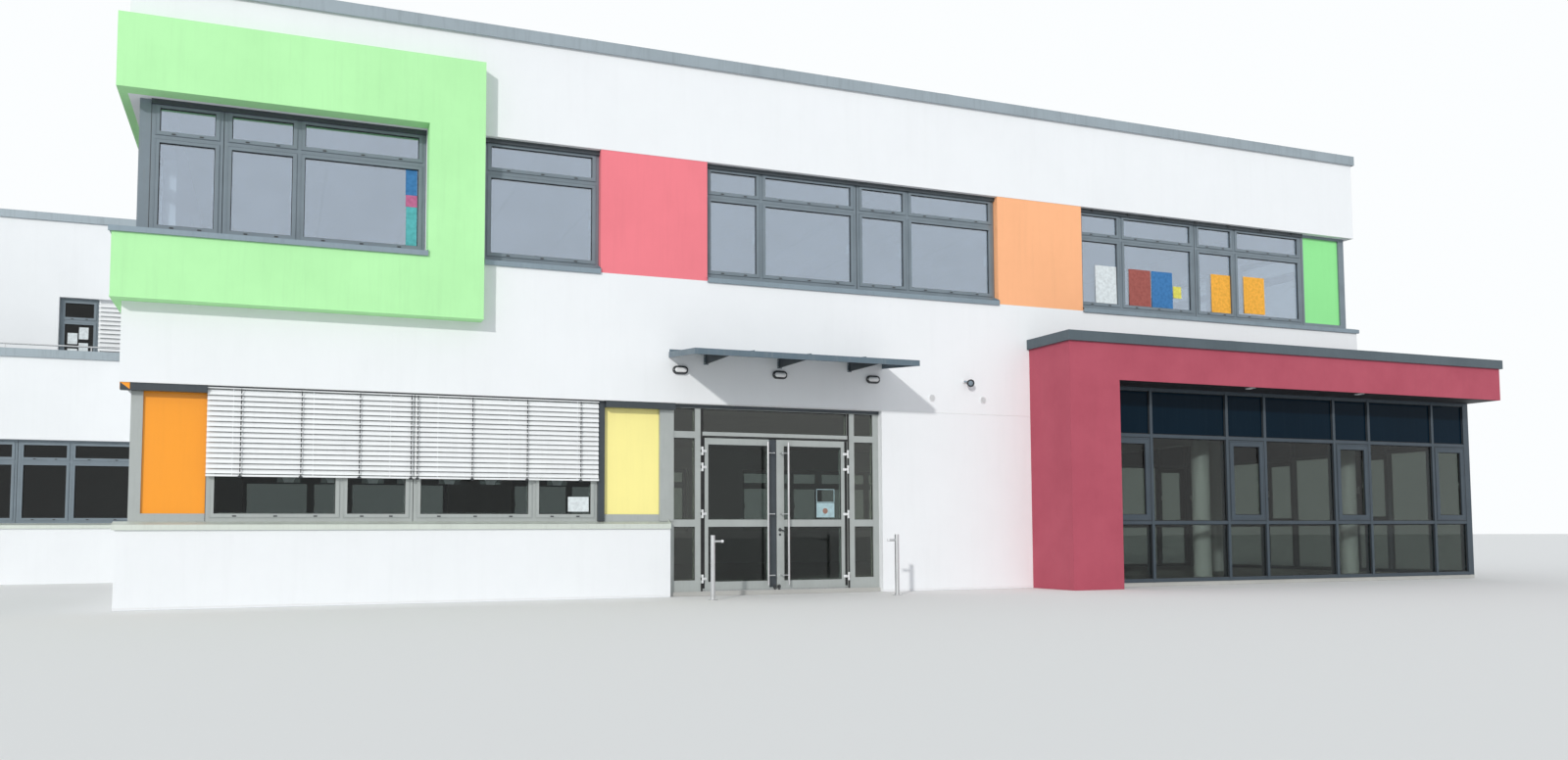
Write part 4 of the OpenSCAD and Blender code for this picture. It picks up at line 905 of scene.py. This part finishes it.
class SCHOOL_OT_entrance_gear(bpy.types.Operator):
    """Adds the hinge casings, locks, foot bolts, seals and notice of the double door"""

    bl_idname = "school.entrance_gear"
    bl_label = "Entrance gear"

    middle, half = -1.446, 1.14  # where the leaves meet, and from there to a hinge's axis
    face = FRAMES + 0.025  # outer face of the leaves

    def at(self, off):
        """Where a distance from the middle of the entrance is, on this leaf's side."""
        return self.middle + self.side * off

    def block(self, form, near, far, low, high, kind=0):
        """A bar between two distances from the middle; low and high are (y, z)."""
        a, b = sorted((self.at(near), self.at(far)))
        form.bar((a, *low), (b, *high), kind)

    def hinges(self, leaf):
        """Three-part hinges: the middle third rides on the leaf, the others on the post."""
        gear, fixed, half = Form(), Form(), self.half
        case = mm(0, 0, 12.5, 0, 13.5, 2, 13.5, 37, 12.5, 39, 0, 39)
        for z in (0.236, 1.1525, 1.817, 2.045):
            for form, foot in ((gear, -0.0195), (fixed, 0.0211), (fixed, -0.0601)):
                form.turned(case, (self.at(half), FRAMES - 0.013, z + foot), sides=14)
            self.block(gear, half - 0.010, half - 0.024, (FRAMES - 0.018, z - 0.016),
                       (FRAMES + 0.024, z + 0.016))
            self.block(gear, half - 0.020, half - 0.068, (FRAMES + 0.018, z - 0.0185),
                       (FRAMES + 0.0245, z + 0.0185))
        piece(f"{leaf}_hinge_gear", gear, ["white coating"], leaf, bevel=0.001)
        piece(f"{leaf}_frame_hinges", fixed, ["white coating"], bevel=0.001)

    def locks(self, leaf):
        """Foot bolts, and the lever and key rose of the right-hand leaf."""
        lock, face, foot = Form(), self.face, self.at(0.034)
        if leaf == RIGHT_LEAF:
            edge = self.at(0.055)
            lock.turned(mm(0, 0, 25, 0, 25, 6, 21, 9, 0, 9), (edge, face - 0.0005, 0.925), OUT, 20)
            lock.tube([(edge, face - 0.006, 0.925), (edge, face - 0.040, 0.925),
                       (edge + 0.010, face - 0.048, 0.921), (edge + 0.068, face - 0.048, 0.899)],
                      0.009, 10)
            lock.turned(mm(0, 0, 18, 0, 18, 5, 9, 8, 9, 14, 0, 14), (edge, face - 0.0005, 0.855),
                        OUT, 20)
        lock.bar((foot - 0.024, face - 0.014, 0.085), (foot + 0.024, face - 0.0005, 0.128))
        lock.tube([(foot, face - 0.022, 0.066), (foot, face - 0.022, 0.138)], 0.007, 8)
        lock.turned(mm(0, 0, 15, 0, 17, 6, 12, 12, 0, 12), (foot, face - 0.022, 0.063), sides=12)
        piece(f"{leaf}_lock_gear", lock, ["dark casing"], leaf, bevel=0.001)

    def leaf_seals(self, leaf):
        """Gaskets and beads of a leaf's two panes, and the rubber round the leaf."""
        seals, face, half = Form(), self.face, self.half
        a, b = sorted((self.at(1.043), self.at(0.123)))
        for low, high in ((0.192, 0.97), (1.072, 2.143)):
            seals.loop((a, low), (b, high), 0.008, face + 0.012, face + 0.0205, 0)
            seals.loop((a, low), (b, high), 0.012, face + 0.0495, face + 0.062, 1, 0.004)
        self.block(seals, half - 0.006, 0.012, (face + 0.055, 0.0625), (face + 0.066, 0.0695))
        self.block(seals, half - 0.006, 0.012, (face - 0.004, 0.078), (face - 0.0005, 0.098), 1)
        self.block(seals, half - 0.0055, half - 0.041, (face - 0.0015, 0.074),
                   (face + 0.0005, 2.232))
        if leaf == LEFT_LEAF:
            self.block(seals, 0.111, 0.003, (face - 0.0015, 0.099), (face + 0.0005, 2.234), 2)
        # The leaf's beads take the entrance's lighter frame copy, which is painted light
        piece(f"{leaf}_seals", seals, ["rubber seal", "sunlit frame coating", "rail coating"],
              leaf)

    def post_seals(self, form):
        """Rubber strips on the hinge post and under the transom."""
        half = self.half
        for near, far, low, high in ((half + 0.0005, half + 0.026, 0.062, 2.32),
                                     (half - 0.012, half + 0.026, 2.32, 2.647),
                                     (0.0, half - 0.002, 2.2455, 2.265)):
            self.block(form, near, far, (FRAMES - 0.0015, low), (FRAMES + 0.0005, high))

    def frame_seals(self):
        """Gaskets and beads of the fixed panes, the threshold, and a dark strip over the head that
        paints the shade of the wall's reveal.
        """
        form, y = Form(), FRAMES
        transom, side_light, half_pane = (2.32, 2.647), 0.311, 1.128
        panes = [((self.middle - half_pane, transom[0]), (self.middle + half_pane, transom[1]))]
        panes += [((left, low), (left + side_light, high)) for left in (-3.007, -0.196)
                  for low, high in ((0.218, 0.97), (1.072, 2.225), transom)]
        for low, high in panes:
            form.loop(low, high, 0.008, y + 0.025, y + 0.033, 0)
            form.loop(low, high, 0.012, y + 0.062, y + 0.076, 2, 0.004)
        left, right = -2.58, -0.312
        form.bar((left, y + 0.002, 0.0605), (right, y + 0.088, 0.0665), 1)
        for i in range(5):
            rib = y + 0.012 + i * 0.015
            form.bar((left, rib, 0.0665), (right, rib + 0.006, 0.0685), 1)
        for x in (-2.64, -0.25):
            form.bar((x - 0.018, y - 0.004, 2.235), (x + 0.018, y - 0.0005, 2.265), 2)
        # Painted shade: a dark strip along the entrance's head, where the wall's reveal shades it
        form.bar((-3.092, y - 0.026, 2.652), (0.208, y - 0.0245, 2.6995), 3)
        # The beads take the entrance's lighter frame copy, which is painted light
        piece("entrance_seals", form,
              ["rubber seal", "brushed steel", "sunlit frame coating", "rail coating"])

    def notice(self):
        """A plain notice under an empty frame, on the right-hand leaf's glass."""
        form, front, back = Form(), FRAMES + 0.0435, FRAMES + 0.0453
        left, right = -0.798, -0.508
        form.loop((left, 1.325), (right, 1.522), 0.008, front, back, 0)
        form.bar((left, front, 1.105), (right, back, 1.318), 0)
        form.turned(mm(0, 0, 42, 0, 42, 0.8, 0, 0.8), (-0.657, FRAMES + 0.0434, 1.20), OUT, 24, 1)
        piece("door_notice", form, ["paper pale", "paper tan"], RIGHT_LEAF)

    def execute(self, context):
        posts = Form()
        for self.side, leaf in ((-1, LEFT_LEAF), (1, RIGHT_LEAF)):
            self.hinges(leaf)
            self.locks(leaf)
            self.leaf_seals(leaf)
            self.post_seals(posts)
        piece("hinge_post_seals", posts, ["rubber seal"])
        self.frame_seals()
        self.notice()
        return {"FINISHED"}


class SCHOOL_OT_canopy_gear(bpy.types.Operator):
    """Adds the canopy's wall flashing, standing seams, folded edge, bracket plates and bolts"""

    bl_idname = "school.canopy_gear"
    bl_label = "Canopy gear"

    def execute(self, context):
        low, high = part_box("canopy_plate")
        out, fall, seam_in = 1.16, 0.105, 0.84
        slope = fall / out

        def top(off):
            """The sheet's top at a distance from the wall."""
            return high.z - off * slope
        form = Form()
        form.prism([(FRONT, high.z), (FRONT, high.z + 0.04), (FRONT - 0.003, high.z + 0.04),
                    (FRONT - 0.004, high.z + 0.004), (FRONT - 0.05, top(0.05) + 0.003),
                    (FRONT - 0.05, top(0.05))], 0, low.x + 0.01, high.x - 0.01)
        near, far, seam = 0.055, out - 0.02, 0.012
        for x in (low.x + seam_in, (low.x + high.x) / 2, high.x - seam_in):
            form.prism([(FRONT - near, top(near)), (FRONT - near, top(near) + seam),
                        (FRONT - far, top(far) + seam), (FRONT - far, top(far))],
                       0, x - 0.006, x + 0.006)
        form.bar((low.x + 0.009, FRONT - out + 0.008, low.z + 0.0005),
                 (high.x - 0.009, FRONT - out + 0.030, low.z + 0.004))
        low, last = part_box("canopy_brackets")
        bolt = mm(0, 0, 9, 0, 9, 5, 6, 7, 0, 7)
        for x in (low.x + 0.0075, (low.x + last.x) / 2, last.x - 0.0075):
            form.bar((x - 0.035, FRONT - 0.008, 3.26), (x + 0.035, FRONT, 3.40), 1)
            for dx, z in product((-0.022, 0.022), (3.285, 3.375)):
                form.turned(bolt, (x + dx, FRONT - 0.008, z), OUT, 6, 2)
            for d in (0.18, 0.56, 0.94):
                z = top(d) - 0.010
                form.bar((x - 0.03, FRONT - d - 0.03, z - 0.006), (x + 0.03, FRONT - d + 0.03, z),
                         1)
        piece("canopy_gear", form, ["canopy coating", "frame coating", "brushed steel"],
              bevel=0.0008)
        return {"FINISHED"}


class SCHOOL_OT_wall_lamps(bpy.types.Operator):
    """Makes the three oval bulkhead lamps under the canopy"""

    bl_idname = "school.wall_lamps"
    bl_label = "Wall lamps"

    def execute(self, context):
        low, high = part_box("wall_lamps")
        z, inset, stretch = (low.z + high.z) / 2, 0.112, 0.052
        ring = mm(0, 0, 58, 0, 60, 3, 60, 26, 58, 33, 50, 40, 38, 43, 34.5, 42, 34, 34, 0, 34)
        bowl = mm(0, 34, 33.5, 34, 33, 44, 28, 54, 16, 61, 0, 63)
        screw = mm(0, 0, 6, 0, 6, 3, 0, 3)
        form = Form()
        for x in (low.x + inset, (low.x + high.x) / 2, high.x - inset):
            form.turned(ring, (x, FRONT, z), OUT, 32, 0, stretch)
            form.turned(bowl, (x, FRONT, z), OUT, 32, 1, stretch)
            for dx in (-0.099, 0.099):
                form.turned(screw, (x + dx, FRONT - 0.040, z), OUT, 8, 2)
        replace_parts(piece("oval_wall_lamps", form, ["dark casing", "white coating",
                                                    "brushed steel"]),
                    "wall_lamps")
        return {"FINISHED"}


class SCHOOL_OT_wall_vents(bpy.types.Operator):
    """Makes the two round vents and the small spotlight beside the entrance"""

    bl_idname = "school.wall_vents"
    bl_label = "Wall vents"

    def execute(self, context):
        form = Form()
        low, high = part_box("wall_vents")
        middle, radius, pitch = 2.93, 0.043, 0.012
        ring = mm(0, 0, 54, 0, 55, 4, 54, 9, 46, 12, 44, 4, 0, 4)
        for x in (low.x + 0.055, high.x - 0.055):
            form.turned(ring, (x, FRONT, middle), OUT, 28, 0)
            for i in range(-3, 4):
                half, z = (radius ** 2 - (i * pitch) ** 2) ** 0.5, middle + i * pitch
                form.prism([(-8.2115, z), (-8.204, z + 0.007), (-8.203, z + 0.006),
                            (-8.2105, z - 0.002)], 0, x - half, x + half, 0)
        mount, bell = (1.645, FRONT, 3.205), (1.703, -8.262, 3.182)
        way = Vector((-0.12, -1, -0.22)).normalized()
        form.turned(mm(0, 0, 30, 0, 32, 4, 32, 14, 24, 18, 0, 18), mount, OUT, 24, 0)
        form.tube([(1.645, -8.215, 3.205), (1.648, -8.238, 3.205), (1.668, -8.252, 3.198), bell],
                  0.012, 10, 1)
        form.turned(mm(0, 0, 34, 0, 46, 8, 54, 45, 60, 56, 60, 64, 53, 64, 47, 52, 0, 48), bell,
                    way, 28, 2)
        form.turned(mm(0, 49, 40, 52, 34, 60, 0, 64), bell, way, 24, 1)
        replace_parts(piece("vents_and_spotlight", form, ["white coating", "sill metal",
                                                        "dark casing"]),
                    "wall_vents")
        return {"FINISHED"}


class SCHOOL_OT_stop_posts(bpy.types.Operator):
    """Adds the caps, rubber buffers, base rings and bolts of the door stop posts"""

    bl_idname = "school.stop_posts"
    bl_label = "Stop posts"

    def execute(self, context):
        low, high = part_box("door_stops")
        form, y, bolt_circle = Form(), -9.18, 0.048
        cap = mm(28, -4, 30.2, -4, 30.2, 0, 0, 0, 0, 4)
        base = mm(30.5, 8, 36, 10, 34, 16, 30.5, 18)
        bolt = mm(0, 8, 8, 8, 8, 14, 5, 16, 0, 16)
        buffer = mm(17.5, 0, 20, 3, 20, 24, 15, 30, 0, 31)
        for x, side in ((low.x + 0.065, 1), (high.x - 0.065, -1)):
            form.turned(cap, (x, y, high.z - 0.003), sides=24)
            form.turned(base, (x, y, 0.0), sides=24)
            for a in (45, 135, 225, 315):
                form.turned(bolt, (x + bolt_circle * cos(radians(a)),
                                   y + bolt_circle * sin(radians(a)), 0.0), sides=6)
            form.turned(buffer, (x + side * 0.118, y, high.z - 0.08), (side, 0, 0), 20, 1)
        piece("stop_post_fittings", form, ["brushed steel", "white coating"])
        return {"FINISHED"}


class SCHOOL_OT_curtain_wall(bpy.types.Operator):
    """Adds the cover caps, casements and seals of the pavilion's glazing"""

    bl_idname = "school.curtain_wall"
    bl_label = "Curtain wall"

    def runs(self):
        """Each run of bays: its matrix, the widths of its bays and those with a casement."""
        end, narrow, wide, post = 12.12, 0.818, 1.56, 0.13
        front = [1.094, wide, narrow, wide, narrow, wide, narrow]
        third = (7.1 + 0.43 - 0.26) / 3
        side = [third - narrow, narrow] * 3
        rear = [narrow, end - RIGHT - post - narrow]
        for x, y, turn, bays, hung in (
                (end - post - sum(front), -8.63, 0, front, (0, 2, 4, 6)),
                (end, -8.5, 90, side, (1, 3, 5)), (end - post, HALL_REAR, 180, rear, (0,))):
            yield (Matrix.Translation((x, y, 0)) @ Matrix.Rotation(radians(turn), 4, "Z"),
                   bays, hung)

    def casement(self, form, a, b, low, high):
        """Shadow line, chamfered edge, gasket and handle of a casement."""
        bar, lap = sizes().casement_bar, 0.030
        grip = b - 0.07
        form.loop((a + lap, low), (b - lap, high), 0.005, -0.0165, -0.014, 1)
        form.loop((a + 0.048, low + 0.018), (b - 0.048, high - 0.018), 0.012, -0.021, -0.0145, 0,
                  0.003)
        form.loop((a + lap + bar, low + bar), (b - lap - bar, high - bar), 0.009, 0.006, 0.0195, 1)
        form.bar((grip - 0.015, 0.048, 1.62), (grip + 0.015, 0.056, 1.76), 2)
        form.tube([(grip, 0.056, 1.73), (grip, 0.09, 1.73), (grip, 0.095, 1.72),
                   (grip, 0.095, 1.62)], 0.009, 8, 2)

    def execute(self, context):
        out, half, foot, head = sizes().cap_out, 0.026, 0.062, 3.198
        rows = [(0.12, 0.985), (1.045, 2.385), (2.445, 3.14)]
        caps, sashes = Form(), Form()
        for place, bays, hung in self.runs():
            caps.place = sashes.place = place
            edges = [sum(bays[:i]) for i in range(len(bays) + 1)]
            for x in edges:
                caps.bar((x - half, -out, foot), (x + half, -0.001, head), 0)
                caps.bar((x - 0.030, -0.004, foot), (x + 0.030, -0.0005, head), 1)
            for i, (a, b) in enumerate(zip(edges, edges[1:])):
                for z in (0.09, 1.015, 2.415, 3.17):
                    caps.bar((a + half, -out + 0.003, z - half), (b - half, -0.001, z + half), 0)
                for low, high in rows:
                    caps.loop((a + 0.030, low), (b - 0.030, high), 0.009, 0.011, 0.0195, 1)
                if i in hung:
                    self.casement(sashes, a, b, *rows[1])
        # The caps and casements take the pavilion's darker frame copy, which is painted shade
        piece("pavilion_cover_caps", caps, ["shaded frame coating", "rubber seal"],
              bevel=0.0015)
        piece("pavilion_casements", sashes,
              ["shaded frame coating", "rubber seal", "white coating"])
        return {"FINISHED"}


class SCHOOL_OT_downlights(bpy.types.Operator):
    """Adds the dark boards and the round downlights of the pavilion's soffit"""

    bl_idname = "school.downlights"
    bl_label = "Downlights"

    def execute(self, context):
        form, first, step, joint = Form(), 3.795, 1.19, 0.004
        for i in range(7):
            x = first + i * step
            form.bar((x, -9.245, 3.1965), (x + step - joint, -8.652, 3.1995))
        piece("soffit_boards", form, ["dark lining"])
        form = Form()
        for x in (6.46, 8.85):
            form.turned(mm(0, 0, 85, 0, 88, -4, 84, -10, 72, -12, 70, -4, 0, -3), (x, -9.15, 3.2),
                        sides=28)
            form.turned(mm(0, -4, 66, -4, 60, -8, 0, -10), (x, -9.15, 3.2), sides=28, kind=1)
        piece("soffit_downlights", form, ["brushed steel", "white coating"])
        return {"FINISHED"}


class SCHOOL_OT_column_rings(bpy.types.Operator):
    """Adds the base and head rings of the round columns"""

    bl_idname = "school.column_rings"
    bl_label = "Column rings"

    def execute(self, context):
        form = Form()
        base = mm(150, 60.5, 162, 60.5, 162, 72, 153, 78, 150, 78)
        head = mm(150, 2688, 156, 2690, 156, 2699, 150, 2699)
        for (x, y), ring in product(((9.72, -8.02), (6.375, -8.02), (9.72, -4.65)), (base, head)):
            form.turned(ring, (x, y, 0), sides=40)
        piece("column_rings", form, ["brushed steel"])
        return {"FINISHED"}


class SCHOOL_OT_roof_edges(bpy.types.Operator):
    """Adds the membranes' upstands and clamping rails, and the sheet on the pavilion"""

    bl_idname = "school.roof_edges"
    bl_label = "Roof edges"

    def execute(self, context):
        form = Form()
        upstand = mm(0, 0, 90, 0, 50, 30, 15, 90, 4, 250, 0, 250)
        rail = mm(3, 235, 9, 235, 11, 245, 9, 262, 3, 262)
        left, right, front, rear = LEFT + WALL, RIGHT - WALL, FRONT + WALL, REAR - WALL
        hall_left, hall_right = HALL_LEFT + HALL_WALL, HALL_RIGHT - HALL_WALL
        hall_front, hall_rear = HALL_FRONT + HALL_WALL, HALL_REAR - HALL_WALL
        wing_left, hall_z, sheet = WING_LEFT + WALL, 3.5, 0.003
        hall = [(hall_left, hall_front), (hall_left, FRONT), (RIGHT, FRONT), (RIGHT, hall_rear),
                (hall_right, hall_rear), (hall_right, hall_front)]
        for z, path in ((7.06, [(left, front), (left, rear), (right, rear), (right, front)]),
                        (hall_z, hall),
                        (6.75, [(wing_left, WING_UPPER + WALL), (wing_left, rear), (LEFT, rear),
                                (LEFT, WING_UPPER + WALL)]),
                        (3.56, [(wing_left, WING_FRONT + WALL), (wing_left, WING_UPPER),
                                (LEFT, WING_UPPER), (LEFT, WING_FRONT + WALL)])):
            form.sweep(upstand, path, z, True, 0)
            form.sweep(rail, path, z, True, 1)
        form.prism(hall, 2, hall_z, hall_z + sheet, 0)
        piece("roof_edges", form, ["roof sheet", "sill metal"])
        return {"FINISHED"}


class SCHOOL_OT_stage(bpy.types.Operator):
    """Sets the floor, the light and the camera"""

    bl_idname = "school.stage"
    bl_label = "Stage"

    def floor(self, scene):
        """A wide pale floor just under the building."""
        shader = new_finish("pale floor")[1]
        shader.inputs["Base Color"].default_value = (0.78, 0.78, 0.77, 1)
        shader.inputs["Roughness"].default_value = 0.9
        reach, z = 300, -0.002
        mesh = bpy.data.meshes.new("floor")
        mesh.from_pydata([(-reach, -reach, z), (reach, -reach, z), (reach, reach, z),
                          (-reach, reach, z)], [], [(0, 1, 2, 3)])
        mesh.materials.append(bpy.data.materials["pale floor"])
        ground = bpy.data.objects.new("floor", mesh)
        scene.collection.objects.link(ground)

    def sky(self, scene):
        """Soft light from all round, and a white backdrop for what the camera or glass sees."""
        world = bpy.data.worlds.new("Pale sky")
        scene.world = world
        world.use_nodes = True
        tree = world.node_tree
        soft, seen = tree.nodes["Background"], node(tree, "Background")
        soft.inputs[0].default_value = (0.90, 0.95, 1.0, 1)
        soft.inputs[1].default_value = 0.74
        seen.inputs[0].default_value = (0.97, 0.99, 1.0, 1)
        seen.inputs[1].default_value = 1.0
        rays = node(tree, "LightPath").outputs
        either = calc(tree, "MAXIMUM", rays["Is Camera Ray"], rays["Is Glossy Ray"])
        either = calc(tree, "MAXIMUM", either, rays["Is Transmission Ray"])
        mix = node(tree, "MixShader")
        feed(tree, either, mix.inputs[0])
        feed(tree, soft.outputs[0], mix.inputs[1])
        feed(tree, seen.outputs[0], mix.inputs[2])
        feed(tree, mix.outputs[0], tree.nodes["World Output"].inputs[0])

    def sun(self, scene):
        """A soft sun from the front left."""
        lamp = bpy.data.lights.new("Sun", "SUN")
        lamp.energy, lamp.angle, lamp.color = 1.74, radians(2.0), (1.0, 0.975, 0.94)
        sun = bpy.data.objects.new("Sun", lamp)
        sun.rotation_mode = "QUATERNION"
        sun.rotation_quaternion = Vector((0.78, 1.0, -0.47)).to_track_quat("-Z", "Y")
        scene.collection.objects.link(sun)

    def camera(self, scene):
        """The photograph's viewpoint."""
        lens = bpy.data.cameras.new("Camera")
        lens.sensor_fit, lens.sensor_width = "HORIZONTAL", 36.0
        lens.lens, lens.shift_y, lens.clip_end = 28.03, 0.0474, 900.0
        yaw, pitch, roll = radians(22.686), radians(3.763), radians(-0.290)
        ahead = Vector((sin(yaw) * cos(pitch), cos(yaw) * cos(pitch), sin(pitch)))
        right = Vector((cos(yaw), -sin(yaw), 0))
        up = right.cross(ahead)
        across = cos(roll) * right + sin(roll) * up
        upright = -sin(roll) * right + cos(roll) * up
        camera = bpy.data.objects.new("Camera", lens)
        camera.matrix_world = Matrix.Translation((-8.181, -24.467, 0.855)) @ Matrix(
            (across, upright, -ahead)).transposed().to_4x4()
        scene.collection.objects.link(camera)
        scene.camera = camera

    def execute(self, context):
        scene = context.scene
        scene.view_settings.view_transform = "Standard"
        self.floor(scene)
        self.sky(scene)
        self.sun(scene)
        self.camera(scene)
        return {"FINISHED"}


STEPS = [SCHOOL_OT_stage, SCHOOL_OT_finishes, SCHOOL_OT_window_seals, SCHOOL_OT_sill_ends,
         SCHOOL_OT_coping_joints, SCHOOL_OT_wall_trims, SCHOOL_OT_blind_gear,
         SCHOOL_OT_paper_sheets, SCHOOL_OT_entrance_gear, SCHOOL_OT_canopy_gear,
         SCHOOL_OT_wall_lamps, SCHOOL_OT_wall_vents, SCHOOL_OT_stop_posts,
         SCHOOL_OT_curtain_wall, SCHOOL_OT_downlights, SCHOOL_OT_column_rings,
         SCHOOL_OT_roof_edges]


class SCHOOL_PT_panel(bpy.types.Panel):
    """Lists the steps and the settings"""

    bl_idname = "SCHOOL_PT_panel"
    bl_label = "School building"
    bl_space_type = "VIEW_3D"
    bl_region_type = "UI"
    bl_category = "School"

    def draw(self, context):
        for group in (context.scene.school_sizes, context.scene.school_colours):
            box = self.layout.box()
            for name in group.__annotations__:
                box.prop(group, name)
        for step in STEPS:
            self.layout.operator(step.bl_idname)


CLASSES = [SchoolSizes, SchoolColours, *STEPS, SCHOOL_PT_panel]


def register():
    for kind in CLASSES:
        bpy.utils.register_class(kind)
    bpy.types.Scene.school_sizes = bpy.props.PointerProperty(type=SchoolSizes)
    bpy.types.Scene.school_colours = bpy.props.PointerProperty(type=SchoolColours)


def unregister():
    del bpy.types.Scene.school_colours
    del bpy.types.Scene.school_sizes
    for kind in reversed(CLASSES):
        bpy.utils.unregister_class(kind)


def main():
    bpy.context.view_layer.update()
    register()
    for step in STEPS:
        family, name = step.bl_idname.split(".")
        getattr(getattr(bpy.ops, family), name)()
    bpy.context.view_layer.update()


if __name__ == "__main__":
    main()
